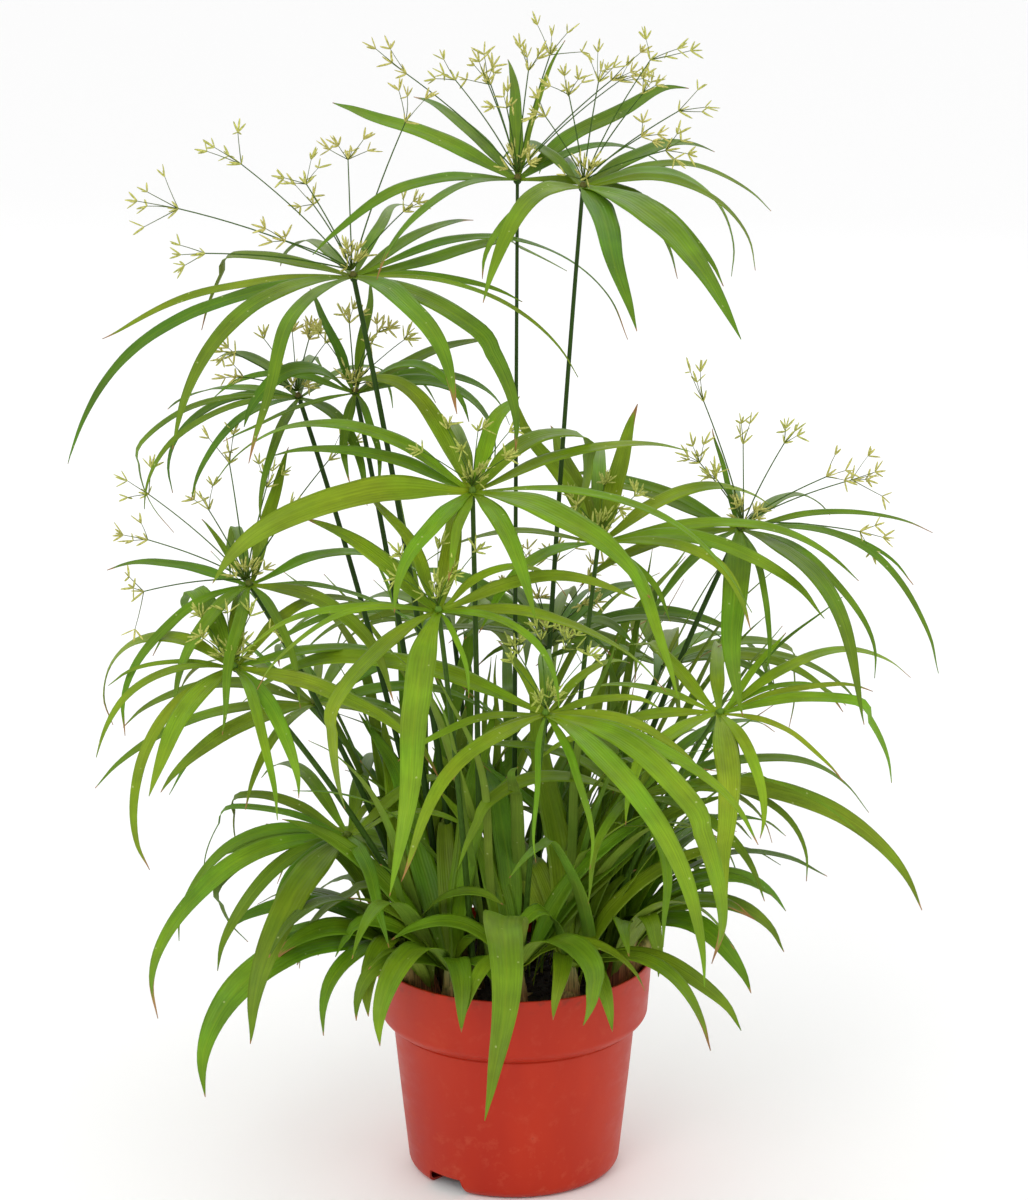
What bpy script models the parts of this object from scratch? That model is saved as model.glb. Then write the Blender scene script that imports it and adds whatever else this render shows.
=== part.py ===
"""An umbrella papyrus (Cyperus involucratus) in a plastic nursery pot.

The pot stands on Z = 0 with its centre at the origin. Stems (culms) rise from the soil. Each carries a whorl
of long pointed bracts and most carry an umbel, a flower head of thin rays with spikelets at their ends. Low
young shoots arch over the rim.
"""

import math
import random

import bmesh
import bpy
from mathutils import Matrix, Vector
from mathutils.bvhtree import BVHTree

MM = 0.001
OBJECT_NAME = "potted_papyrus"
GAP = 0.3 * MM  # left between pieces that touch

# Pot, moulded in one piece
POT_HEIGHT = 137.5 * MM
RIM_RADIUS = 85 * MM
COLLAR_HEIGHT = 34 * MM
COLLAR_TAPER = 2.5 * MM
SHOULDER_HEIGHT = 9 * MM
SHOULDER_RUN = 8 * MM
SHOULDER_STEPS = 3
SHOULDER_FULLNESS = 0.75  # 1 is a quarter of an ellipse, and less is fuller
BODY_TAPER = 9 * MM
CORNER_RADIUS = 8 * MM
WALL = 1.6 * MM
LIP = 0.6 * MM  # the rim's rounding
FOOT_RING_WIDTH = 7 * MM
CENTRE_PAD_RADIUS = 20 * MM
CHANNEL_RISE = 4 * MM  # height of the recess between the foot ring and the centre pad
CHANNEL_SLOPE = 1 * MM  # run of its sloping sides
NOTCH_WIDTH = 34 * MM
NOTCH_HEIGHT = 10 * MM
NOTCH_SLOPE = 5 * MM  # how much narrower a notch is at its top, on each side
NOTCH_INSIDE = 3 * MM  # how far a notch cuts past the foot ring, inwards
NOTCH_OUTSIDE = 8 * MM  # and outwards, past the pot's foot
NOTCH_BELOW = 5 * MM  # and below the pot
NOTCH_AZIMUTHS = (229, 49)
SLOT_WIDTH = 3 * MM
SLOT_HEIGHT = 6.5 * MM
SLOT_DROP = 4 * MM  # from the crease down to the slot's top
SLOT_DEPTH = 12 * MM  # of its cutter, through the wall
SLOT_AZIMUTHS = (186, 6)
POT_SEGMENTS = 36

# Soil
SOIL_DEPTH = 18 * MM  # rim down to the soil's edge
SOIL_MOUND = 3 * MM
SOIL_RINGS = 2

# Culms
CULM_FOOT_SWELL = 0.7 * MM  # how much more radius a culm has at its foot than at its top
CULM_SPANS = 8
CULM_UPRIGHT = 6 * MM  # the stretch at its foot that stands straight up
CULM_BOW = 0.34  # share of its lean that a culm has at half its height

# Whorls of bracts
HUB_HEIGHT = 5 * MM
HUB_TOP_RADIUS = 3.6 * MM
BRACT_DEPTH = 1.2 * MM  # from its edges down to its keel
BRACT_DEPTH_LOSS = 0.5  # share of its depth that is gone at its tip
BRACT_FIRST_RING = 0.06
BRACT_LAST_RING = 0.88
BRACT_RINGS = 4
BRACT_BENDS_THAT_ADD_A_RING = (70, 110)
BRACT_OPENED = 0.35  # share of its length at which a bract has opened to its full width
BRACT_FOOT_WIDTH = 0.35  # share of its full width that it has at its foot
BRACT_POINT = 2.4  # higher keeps the width nearer to the tip
BEND_CURVE = 1.3  # 1 bends a leaf evenly, and more bends it mostly near its tip
BRACT_SWAY = 7  # degrees that a bract turns sideways along its length, at most
BRACT_ROLL = 10  # degrees that it rolls about its own line by chance, at most
BRACT_FACING = 24  # degrees that a bract at the side rolls its upper face to the light, which comes from -Y

# Umbels
UMBEL_HUB_HEIGHT = 3.5 * MM
UMBEL_HUB_RADIUS = 2.4 * MM
RAY_WIDTH = 0.9 * MM
RAY_DEPTH = 0.87  # share of its width
RAY_BEND = 14
RAY_FIRST_RING = 0.10
CLUSTER_LENGTH = 19 * MM
CLUSTER_WIDTH = 7 * MM
CLUSTER_WIDEST = 0.45  # share of its length

# Young shoots
SHEATH_RADIUS = 4.6 * MM
SHEATH_TOP_RADIUS = 3.6 * MM

# Room that a leaf looks for, by turning a little
ROOM_BESIDE = 1.0 * MM
ROOM_ABOVE = 0.7 * MM
SIBLING_ROOM_BESIDE = 0.4 * MM  # the same, from the leaves of its own whorl
SIBLING_ROOM_ABOVE = 0.3 * MM
RAY_ROOM = 0.4 * MM
TURN_STEP = 3.5  # degrees
TURN_STEPS = 9
FACET_EVENNESS = 0.55  # 0 puts a hub's facets where its leaves point, and 1 spaces them evenly

# One entry per stem. All lengths are in millimetres and all angles in degrees, and azimuths run anticlockwise
# from +X seen from above. "hub" is the crown's place: x, y and its height above the soil. "foot" is where the
# culm leaves the soil, and "culm" is its diameter under the crown. A bract is (azimuth, rise, bend, length,
# width): rise is its slope at the hub, and bend is how far it has turned down at its tip. A ray is (azimuth,
# rise, length).
CROWNS = {
    "01": {
        "hub": (2, 25, 492),
        "foot": (0, 9),
        "culm": 2.0,
        "bracts": [
            (137, 20, 25, 160, 15), (115, 24, 30, 146, 13), (92, 38, 16, 110, 15), (66, 62, 25, 96, 8),
            (48, 28, 36, 154, 16), (30, 30, 84, 116, 14), (233, 12, 68, 142, 15), (222, 13, 52, 158, 15),
            (350, 5, 55, 130, 12), (170, 8, 60, 105, 10),
        ],
        "rays": [
            (160, 42, 118), (140, 50, 92), (125, 62, 78), (110, 48, 86), (75, 70, 82), (60, 63, 100),
            (40, 34, 122), (250, 70, 60), (20, 45, 104),
        ],
    },
    "02": {
        "hub": (40, -5, 493),
        "foot": (12, 22),
        "culm": 2.4,
        "bracts": [
            (278, 2, 58, 152, 22), (299, 6, 64, 178, 25), (22, 24, 128, 136, 19), (50, 22, 44, 120, 15),
            (37, 16, 68, 150, 12), (6, 16, 104, 130, 15), (241, 18, 94, 142, 17), (213, 6, 100, 92, 10),
            (100, 18, 50, 130, 13), (130, 14, 66, 128, 13), (332, 2, 72, 110, 12),
        ],
        "rays": [
            (20, 36, 94), (48, 44, 92), (75, 60, 84), (110, 66, 70), (0, 24, 68), (340, 42, 60), (150, 58, 58),
            (30, 60, 108),
        ],
    },
    "03": {
        "hub": (-93, -25, 444),
        "foot": (-30, -2),
        "culm": 3.0,
        "bracts": [
            (52, 24, 38, 116, 15), (78, 28, 44, 124, 13), (36, 6, 10, 166, 13), (22, 24, 98, 208, 16),
            (350, 6, 68, 150, 9), (297, 8, 66, 158, 18), (324, 0, 66, 166, 18), (8, 4, 30, 98, 11),
            (147, 12, 50, 142, 15), (190, 0, 76, 212, 17), (166, -2, 36, 160, 12), (226, 8, 88, 178, 19),
            (246, 4, 80, 174, 15), (112, 16, 58, 142, 13),
        ],
        "rays": [
            (150, 40, 122), (172, 22, 140), (188, 12, 112), (130, 50, 80), (95, 64, 88), (60, 56, 128),
            (215, 30, 66), (115, 30, 84), (30, 46, 60),
        ],
    },
    "04": {
        "hub": (-129, 45, 355),
        "foot": (-44, 14),
        "culm": 2.8,
        "bracts": [
            (184, 10, 122, 166, 12), (200, 6, 92, 126, 12), (170, 8, 112, 118, 11), (226, 6, 86, 106, 13),
            (148, 6, 42, 106, 12), (122, 25, 55, 112, 13), (88, 20, 60, 120, 12), (55, 18, 55, 110, 12),
            (300, 8, 84, 110, 12), (258, -6, 70, 104, 12),
        ],
        "rays": [(100, 66, 40), (70, 58, 44), (140, 52, 42), (180, 36, 56), (200, 30, 48), (20, 62, 36)],
    },
    "05": {
        "hub": (-94, 15, 365),
        "foot": (-40, -12),
        "culm": 2.8,
        "bracts": [
            (45, 20, 30, 116, 12), (20, 24, 98, 114, 14), (4, 22, 132, 118, 18), (198, -8, 22, 82, 9),
            (262, -18, 60, 66, 12), (288, -12, 62, 78, 10), (332, 52, 142, 98, 14), (216, 48, 132, 98, 16),
            (120, 52, 30, 82, 10), (84, 54, 34, 88, 12), (62, 10, 60, 112, 12), (158, 20, 60, 96, 12),
        ],
        "rays": [(50, 58, 46), (100, 66, 50), (20, 44, 44), (150, 56, 40), (300, 64, 38)],
    },
    "06": {
        "hub": (-24, -70, 326),
        "foot": (-20, -22),
        "culm": 2.8,
        "bracts": [
            (194, 10, 60, 166, 20), (157, 38, 100, 186, 18), (132, 54, 92, 132, 17), (146, 20, 44, 138, 14),
            (74, 50, 62, 96, 14), (34, 40, 126, 138, 18), (28, 20, 38, 142, 14), (345, 12, 76, 188, 14),
            (318, 5, 42, 150, 20), (264, -4, 44, 84, 10), (244, -2, 62, 108, 15), (290, -2, 62, 112, 15),
            (176, 14, 46, 90, 7), (100, 30, 60, 120, 14),
        ],
        "rays": [(80, 62, 36), (130, 54, 40), (40, 50, 42), (180, 40, 38), (250, 62, 32), (320, 44, 34)],
    },
    "07": {
        "hub": (-156, -20, 256),
        "foot": (-52, 2),
        "culm": 2.8,
        "bracts": [
            (70, 56, 18, 94, 13), (150, 12, 34, 102, 14), (222, 2, 100, 134, 13), (125, 36, 12, 58, 8),
            (30, 22, 76, 138, 15), (320, 12, 82, 136, 17), (264, -4, 72, 120, 14), (350, 8, 52, 112, 10),
            (100, 30, 52, 112, 13), (192, -10, 60, 72, 11), (243, 0, 84, 112, 14), (294, 0, 80, 104, 12),
        ],
        "rays": [
            (110, 68, 92), (70, 60, 76), (45, 46, 118), (150, 36, 106), (165, 22, 84), (20, 58, 58),
            (225, 10, 104), (130, 48, 66),
        ],
    },
    "08": {
        "hub": (-162, -75, 222),
        "foot": (-44, -18),
        "culm": 3.2,
        "bracts": [
            (176, 42, 158, 128, 18), (112, 60, 68, 118, 18), (203, 18, 96, 112, 11), (224, -8, 124, 156, 13),
            (244, -6, 58, 108, 18), (332, 2, 34, 134, 16), (18, 14, 42, 110, 16), (302, -8, 62, 104, 14),
            (42, 50, 100, 124, 13), (182, 16, 58, 74, 8), (84, 46, 64, 100, 13), (272, 0, 90, 120, 13),
        ],
        "rays": [(100, 66, 34), (140, 56, 36), (60, 58, 34), (226, 48, 30), (20, 40, 32)],
    },
    "09": {
        "hub": (-43, -120, 269),
        "foot": (-24, -42),
        "culm": 2.8,
        "bracts": [
            (262, -10, 66, 204, 19), (199, 16, 86, 122, 10), (232, -4, 80, 168, 16), (292, -18, 60, 60, 8),
            (350, 8, 62, 142, 13), (324, 15, 96, 108, 12), (120, 58, 60, 98, 13), (142, 36, 30, 104, 17),
            (30, 46, 112, 94, 12), (75, 54, 62, 98, 14), (170, 6, 50, 122, 12), (8, 30, 70, 118, 12),
        ],
        "rays": [(90, 62, 36), (150, 52, 38), (40, 48, 42), (200, 44, 32), (300, 60, 30)],
    },
    "10": {
        "hub": (135, 15, 281),
        "foot": (40, 16),
        "culm": 3.0,
        "bracts": [
            (296, 5, 76, 186, 18), (338, 14, 108, 170, 13), (10, 15, 46, 122, 11), (354, 10, 62, 112, 10),
            (264, -10, 70, 142, 20), (150, 25, 42, 126, 13), (136, 12, 28, 130, 13), (192, 0, 42, 102, 15),
            (106, 50, 20, 74, 9), (280, -4, 82, 130, 10), (314, 5, 92, 142, 11), (62, 14, 56, 132, 13),
            (92, 18, 60, 124, 13), (230, -4, 60, 108, 13),
        ],
        "rays": [
            (120, 66, 104), (85, 62, 66), (50, 52, 72), (20, 20, 96), (340, -4, 92), (150, 52, 58), (0, 34, 74),
            (200, 62, 44),
        ],
    },
    "11": {
        "hub": (120, -60, 189),
        "foot": (46, -10),
        "culm": 2.8,
        "bracts": [
            (42, 44, 14, 64, 9), (354, 20, 62, 140, 12), (24, 16, 36, 102, 9), (36, 30, 76, 158, 13),
            (329, 6, 62, 88, 9), (272, -8, 66, 148, 20), (291, -4, 96, 94, 12), (128, 28, 14, 98, 15),
            (186, 6, 52, 112, 13), (224, 0, 62, 102, 13), (90, 30, 52, 104, 12), (160, 24, 60, 100, 12),
        ],
        "rays": [],
    },
    "12": {
        "hub": (18, -110, 204),
        "foot": (4, -44),
        "culm": 2.6,
        "bracts": [
            (172, 24, 68, 202, 16), (231, 2, 72, 152, 14), (299, 2, 86, 222, 21), (312, 6, 86, 240, 18),
            (325, 6, 62, 158, 13), (50, 35, 62, 82, 10), (24, 16, 52, 74, 10), (118, 40, 32, 64, 12),
            (200, 10, 52, 92, 10), (264, -10, 62, 108, 8), (88, 30, 62, 100, 12), (0, 4, 60, 96, 12),
        ],
        "rays": [(100, 68, 52), (60, 58, 48), (140, 58, 46), (20, 54, 42), (190, 60, 38)],
    },
    "13": {
        "hub": (50, -10, 279),
        "foot": (26, -20),
        "culm": 2.6,
        "bracts": [
            (62, 62, 16, 90, 15), (130, 50, 20, 118, 15), (112, 42, 22, 98, 17), (324, 20, 86, 128, 14),
            (340, 18, 76, 152, 16), (4, 16, 62, 162, 14), (291, 6, 82, 146, 15), (310, -8, 52, 72, 8),
            (190, 20, 62, 112, 13), (232, 15, 72, 122, 14), (86, 46, 62, 110, 14), (22, 40, 82, 122, 15),
        ],
        "rays": [(80, 64, 34), (150, 54, 30), (20, 50, 34), (220, 56, 30), (310, 56, 28)],
    },
    "14": {
        "hub": (21, 60, 194),
        "foot": (14, 44),
        "culm": 3.0,
        "bracts": [
            (14, 28, 70, 130, 15), (48, 34, 80, 140, 15), (80, 26, 84, 146, 15), (110, 30, 76, 138, 14),
            (140, 38, 60, 120, 16), (172, 30, 64, 128, 15), (204, 30, 60, 110, 15), (238, 46, 70, 96, 14),
            (272, 40, 76, 90, 14), (306, 44, 66, 104, 15), (340, 34, 60, 118, 14),
        ],
        "rays": [(120, 66, 62), (80, 58, 66), (40, 50, 60), (170, 54, 50), (250, 62, 40), (320, 48, 50)],
    },
    "15": {
        "hub": (73, -30, 127),
        "foot": (50, 12),
        "culm": 3.2,
        "bracts": [
            (344, 18, 92, 202, 18), (14, 28, 88, 164, 16), (354, 24, 120, 136, 12), (206, 32, 94, 152, 15),
            (280, 8, 82, 134, 15), (46, 36, 76, 140, 14), (78, 30, 80, 138, 13), (112, 34, 70, 120, 13),
            (160, 40, 70, 118, 14), (316, 14, 84, 120, 12),
        ],
        "rays": [],
    },
    "16": {
        "hub": (-99, -20, 99),
        "foot": (-56, 22),
        "culm": 3.2,
        "bracts": [
            (150, 28, 80, 124, 13), (166, 24, 74, 132, 12), (186, 16, 118, 144, 14), (176, 6, 46, 84, 12),
            (204, 6, 108, 184, 19), (218, 0, 90, 124, 14), (246, -2, 76, 168, 21), (118, 34, 80, 130, 13),
            (84, 36, 76, 124, 13), (30, 44, 70, 110, 14), (342, 40, 70, 84, 13), (292, 10, 84, 104, 13),
        ],
        "rays": [],
    },
    "17": {
        "hub": (-121, 40, 163),
        "foot": (-54, 36),
        "culm": 3.0,
        "bracts": [
            (184, 4, 58, 150, 14), (204, 0, 56, 112, 18), (160, 16, 66, 136, 14), (132, 22, 74, 146, 14),
            (104, 26, 80, 150, 14), (74, 24, 78, 140, 14), (42, 26, 70, 124, 14), (8, 20, 66, 116, 14),
            (330, 16, 70, 110, 14), (244, 4, 74, 100, 13),
        ],
        "rays": [],
    },
    "18": {
        "hub": (-38, 122, 186),
        "foot": (-20, 52),
        "culm": 3.0,
        "bracts": [
            (12, 22, 76, 138, 14), (40, 18, 84, 154, 15), (70, 14, 90, 168, 16), (96, 12, 84, 160, 15),
            (124, 16, 88, 172, 16), (152, 18, 80, 150, 15), (184, 24, 74, 132, 14), (216, 30, 66, 112, 13),
            (256, 40, 70, 96, 13), (296, 38, 66, 98, 13), (334, 28, 70, 118, 14),
        ],
        "rays": [],
    },
    "19": {
        "hub": (92, 112, 166),
        "foot": (34, 46),
        "culm": 3.0,
        "bracts": [
            (6, 18, 76, 140, 14), (32, 16, 84, 158, 15), (58, 14, 90, 170, 16), (84, 14, 86, 160, 15),
            (112, 18, 84, 150, 15), (142, 24, 76, 136, 14), (176, 28, 70, 122, 14), (216, 38, 66, 100, 13),
            (264, 38, 74, 94, 13), (310, 30, 70, 108, 13), (342, 22, 74, 126, 14),
        ],
        "rays": [],
    },
}

# Low whorls without a tall stem. "sheath" is the height of the red-brown sheath that they come out of.
SHOOTS = {
    "01": {
        "foot": (-67, -30),
        "sheath": 30,
        "bracts": [
            (214, 26, 118, 190, 17), (232, 30, 128, 104, 14), (196, 36, 110, 118, 13), (176, 44, 96, 120, 13),
            (252, 44, 150, 92, 13), (148, 62, 76, 126, 13), (100, 74, 42, 150, 12), (50, 76, 40, 132, 12),
            (322, 66, 84, 104, 12),
        ],
    },
    "02": {
        "foot": (-38, -53),
        "sheath": 22,
        "bracts": [
            (244, 54, 150, 130, 16), (224, 46, 130, 96, 13), (276, 50, 138, 96, 14), (304, 44, 130, 84, 13),
            (196, 60, 90, 92, 12), (158, 74, 46, 140, 12), (112, 78, 34, 176, 13), (66, 76, 36, 168, 13),
            (20, 72, 50, 130, 12),
        ],
    },
    "03": {
        "foot": (2, -60),
        "sheath": 26,
        "bracts": [
            (265, 56, 146, 264, 19), (302, 58, 150, 126, 18), (236, 46, 134, 88, 12), (330, 50, 118, 100, 13),
            (14, 70, 56, 138, 12), (60, 76, 38, 170, 13), (104, 80, 30, 182, 13), (138, 77, 34, 120, 12),
            (200, 62, 100, 92, 12),
        ],
    },
    "04": {
        "foot": (34, -52),
        "sheath": 24,
        "bracts": [
            (310, 36, 118, 132, 14), (288, 42, 136, 86, 13), (334, 30, 100, 126, 12), (264, 52, 140, 88, 12),
            (2, 66, 66, 130, 12), (52, 76, 40, 168, 13), (98, 78, 34, 180, 13), (146, 76, 40, 160, 12),
            (206, 64, 90, 92, 12),
        ],
    },
    "05": {
        "foot": (66, -6),
        "sheath": 28,
        "bracts": [
            (350, 46, 120, 118, 13), (322, 40, 116, 116, 13), (16, 50, 116, 126, 13), (50, 56, 110, 118, 13),
            (94, 74, 48, 150, 12), (140, 78, 36, 170, 13), (186, 76, 40, 152, 12), (236, 66, 76, 96, 12),
            (286, 56, 110, 92, 12),
        ],
    },
    "06": {
        "foot": (57, 40),
        "sheath": 30,
        "bracts": [
            (40, 48, 124, 140, 14), (70, 44, 128, 154, 15), (14, 52, 120, 126, 13), (100, 50, 118, 132, 13),
            (342, 66, 74, 128, 12), (150, 66, 70, 128, 12), (206, 78, 36, 176, 13), (262, 78, 36, 166, 13),
            (306, 74, 46, 150, 12),
        ],
    },
    "07": {
        "foot": (-42, 58),
        "sheath": 30,
        "bracts": [
            (132, 46, 126, 148, 15), (106, 50, 122, 136, 14), (158, 48, 124, 142, 14), (186, 54, 110, 122, 13),
            (72, 60, 96, 122, 12), (26, 74, 46, 154, 12), (232, 72, 50, 140, 12), (282, 78, 36, 172, 13),
            (334, 78, 34, 166, 13),
        ],
    },
}


# ---------------------------------------------------------------- scene and materials


def clear_scene():
    for obj in list(bpy.data.objects):
        bpy.data.objects.remove(obj, do_unlink=True)


def new_collection(name):
    collection = bpy.data.collections.new(name)
    bpy.context.scene.collection.children.link(collection)
    return collection


def new_material(name, colour, roughness):
    material = bpy.data.materials.new(name)
    material.use_nodes = True
    shader = material.node_tree.nodes["Principled BSDF"]
    shader.inputs["Base Color"].default_value = (*colour, 1)
    shader.inputs["Roughness"].default_value = roughness
    shader.inputs["Metallic"].default_value = 0
    return material


def new_object(name, data, collection, material):
    obj = bpy.data.objects.new(name, data)
    collection.objects.link(obj)
    data.materials.append(material)
    return obj


# ---------------------------------------------------------------- pot and soil


def arc(centre, radius, start, end, steps):
    """Points (r, z) on an arc from the start angle to the end angle, in degrees."""
    points = []
    for i in range(steps + 1):
        angle = math.radians(start + (end - start) * i / steps)
        points.append((centre[0] + radius * math.cos(angle), centre[1] + radius * math.sin(angle)))
    return points


def crease_height():
    return POT_HEIGHT - COLLAR_HEIGHT - SHOULDER_HEIGHT


def body_top_radius():
    """Outer radius of the body at the crease under the shoulder."""
    return RIM_RADIUS - COLLAR_TAPER - SHOULDER_RUN


def pot_side(inset):
    """The pot's side from the rim down to the bottom corner, moved in from the outer face by inset."""
    body_radius = body_top_radius()
    foot_radius = body_radius - BODY_TAPER
    collar_z = POT_HEIGHT - COLLAR_HEIGHT
    crease_z = crease_height()
    side = []
    for i in range(SHOULDER_STEPS + 1):
        t = i / SHOULDER_STEPS
        run = SHOULDER_RUN * math.cos(t * math.pi / 2) ** SHOULDER_FULLNESS
        side.append((body_radius + run - inset, collar_z - SHOULDER_HEIGHT * t))
    side.append((body_radius - BODY_TAPER / 2 - inset, (crease_z + CORNER_RADIUS) / 2))
    corner = (foot_radius - CORNER_RADIUS, CORNER_RADIUS)
    side += arc(corner, CORNER_RADIUS - inset, 0, -90, 3)
    return side


def foot_ring_inner():
    return body_top_radius() - BODY_TAPER - CORNER_RADIUS - FOOT_RING_WIDTH


def pot_floor(rise, wider):
    """The floor from the bottom corner in to the axis: foot ring, raised channel and centre pad."""
    ring = foot_ring_inner()
    return [
        (ring + wider, rise),
        (ring - CHANNEL_SLOPE + wider, CHANNEL_RISE + rise),
        (CENTRE_PAD_RADIUS + CHANNEL_SLOPE - wider, CHANNEL_RISE + rise),
        (CENTRE_PAD_RADIUS - wider, rise),
        (0, rise),
    ]


def pot_inside(extra):
    """The inner face from just under the rim down to the axis, moved in by a further extra."""
    return pot_side(WALL + extra) + pot_floor(WALL + extra, WALL + extra)


def turned(name, profile, segments, collection, material):
    """A body of revolution from a profile that runs down its outer side."""
    mesh = bpy.data.meshes.new(name)
    vertices = [(r, 0, z) for r, z in profile]
    mesh.from_pydata(vertices, [(i, i + 1) for i in range(len(vertices) - 1)], [])
    obj = new_object(name, mesh, collection, material)
    screw = obj.modifiers.new("Turn", "SCREW")
    screw.steps = segments
    screw.render_steps = segments
    screw.use_merge_vertices = True
    screw.merge_threshold = 0.00001
    screw.use_smooth_shade = True
    return obj


def cut(obj, cutter):
    boolean = obj.modifiers.new(cutter.name, "BOOLEAN")
    boolean.operation = "DIFFERENCE"
    boolean.solver = "EXACT"
    boolean.object = cutter


def hide_cutter(cutter):
    cutter.hide_render = True
    cutter.display_type = "WIRE"


def notch_cutter(azimuth, collection, material):
    """A block with sloping sides that opens the bottom edge of the pot."""
    bm = bmesh.new()
    bmesh.ops.create_cube(bm, size=1)
    length = NOTCH_INSIDE + FOOT_RING_WIDTH + CORNER_RADIUS + NOTCH_OUTSIDE
    for vert in bm.verts:
        above = vert.co.z > 0
        half_width = NOTCH_WIDTH / 2 - (NOTCH_SLOPE if above else 0)
        vert.co.x = foot_ring_inner() - NOTCH_INSIDE + (length if vert.co.x > 0 else 0)
        vert.co.y = math.copysign(half_width, vert.co.y)
        vert.co.z = NOTCH_HEIGHT if above else -NOTCH_BELOW
    mesh = bpy.data.meshes.new(f"notch_cutter_{azimuth}")
    bm.to_mesh(mesh)
    bm.free()
    cutter = new_object(mesh.name, mesh, collection, material)
    cutter.rotation_euler.z = math.radians(azimuth)
    hide_cutter(cutter)
    return cutter


def slot_cutter(azimuth, collection, material):
    """A small upright hole through the wall under the collar."""
    bm = bmesh.new()
    bmesh.ops.create_cube(bm, size=1)
    bmesh.ops.scale(bm, vec=(SLOT_DEPTH, SLOT_WIDTH, SLOT_HEIGHT), verts=bm.verts)
    centre = (body_top_radius(), 0, crease_height() - SLOT_DROP - SLOT_HEIGHT / 2)
    bmesh.ops.translate(bm, vec=centre, verts=bm.verts)
    mesh = bpy.data.meshes.new(f"slot_cutter_{azimuth}")
    bm.to_mesh(mesh)
    bm.free()
    cutter = new_object(mesh.name, mesh, collection, material)
    cutter.rotation_euler.z = math.radians(azimuth)
    hide_cutter(cutter)
    return cutter


def make_pot(collection, cutters, material):
    rim = [
        (RIM_RADIUS - WALL, POT_HEIGHT - LIP),
        (RIM_RADIUS - WALL + LIP, POT_HEIGHT),
        (RIM_RADIUS - LIP, POT_HEIGHT),
        (RIM_RADIUS, POT_HEIGHT - LIP),
    ]
    profile = list(reversed(pot_inside(0))) + rim + pot_side(0) + pot_floor(0, 0)
    pot = turned("pot", profile, POT_SEGMENTS, collection, material)
    for azimuth in NOTCH_AZIMUTHS:
        cut(pot, notch_cutter(azimuth, cutters, material))
    for azimuth in SLOT_AZIMUTHS:
        cut(pot, slot_cutter(azimuth, cutters, material))
    return pot


def soil_edge():
    """Radius and height of the soil's top edge, just inside the collar."""
    share = SOIL_DEPTH / COLLAR_HEIGHT
    return RIM_RADIUS - COLLAR_TAPER * share - WALL - GAP, POT_HEIGHT - SOIL_DEPTH


def soil_height(x, y):
    """Height of the slightly domed soil at a point."""
    radius, edge_z = soil_edge()
    return edge_z + SOIL_MOUND * max(0, 1 - (x * x + y * y) / (radius * radius))


def make_soil(collection, material):
    radius, _ = soil_edge()
    radii = [radius * i / SOIL_RINGS for i in range(SOIL_RINGS + 1)]
    top = [(r, soil_height(r, 0)) for r in radii]
    return turned("soil", top + pot_inside(GAP), POT_SEGMENTS, collection, material)


# ---------------------------------------------------------------- lines that the leaves follow


def on_soil(foot):
    x, y = foot[0] * MM, foot[1] * MM
    return Vector((x, y, soil_height(x, y) + GAP))


def culm_line(crown):
    """Points from the soil to just under the crown. The culm leans out more and more as it rises."""
    foot = on_soil(crown["foot"])
    x, y, height = crown["hub"]
    top = Vector((x * MM, y * MM, soil_edge()[1] + height * MM))
    straight = foot + Vector((0, 0, CULM_UPRIGHT))
    middle = straight.lerp(top, CULM_BOW)
    middle.z = straight.lerp(top, 0.5).z
    points = [foot]
    for i in range(CULM_SPANS + 1):
        t = i / CULM_SPANS
        points.append(straight * (1 - t) ** 2 + middle * (2 * t * (1 - t)) + top * t**2)
    return points


def width_share(t):
    """A bract's width along its length: narrow at the base, widest at a third, pointed at the tip."""
    opened = min(1, t / BRACT_OPENED)
    eased = opened * opened * (3 - 2 * opened)
    return (BRACT_FOOT_WIDTH + (1 - BRACT_FOOT_WIDTH) * eased) * (1 - t**BRACT_POINT)


def leaf_path(start, azimuth, rise, bend, length, sway, steps=40):
    """Points and tangents of a bract's centre line, bending down more and more towards its tip."""
    points, tangents = [start.copy()], []
    for i in range(steps + 1):
        t = i / steps
        slope = math.radians(rise - bend * t**BEND_CURVE)
        turn = math.radians(azimuth + sway * t)
        flat = math.cos(slope)
        tangent = Vector((flat * math.cos(turn), flat * math.sin(turn), math.sin(slope)))
        tangents.append(tangent)
        points.append(points[-1] + tangent * (length / steps))
    return points[:-1], tangents


def section(centre, tangent, azimuth, roll, width, depth):
    """Left edge, right edge and keel of a leaf's cross-section."""
    turn = math.radians(azimuth)
    side = Vector((-math.sin(turn), math.cos(turn), 0))
    normal = tangent.cross(side).normalized()
    rolled = Matrix.Rotation(math.radians(roll), 3, tangent)
    side, normal = rolled @ side, rolled @ normal
    left = centre + side * (width / 2) + normal * (depth / 3)
    right = centre - side * (width / 2) + normal * (depth / 3)
    return left, right, centre - normal * (2 * depth / 3)


def bract_rings(start, bract, sway, roll):
    """The cross-sections of one bract, and its tip."""
    azimuth, rise, bend, length, width = bract
    points, tangents = leaf_path(start, azimuth, rise, bend, length * MM, sway)
    count = BRACT_RINGS + sum(bend > limit for limit in BRACT_BENDS_THAT_ADD_A_RING)
    rings = []
    for k in range(count):
        t = BRACT_FIRST_RING + (BRACT_LAST_RING - BRACT_FIRST_RING) * k / (count - 1)
        i = round(t * (len(points) - 1))
        depth = BRACT_DEPTH * (1 - BRACT_DEPTH_LOSS * t)
        full = width * MM * width_share(t)
        rings.append(section(points[i], tangents[i], azimuth + sway * t, roll, full, depth))
    return rings, points[-1]


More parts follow.
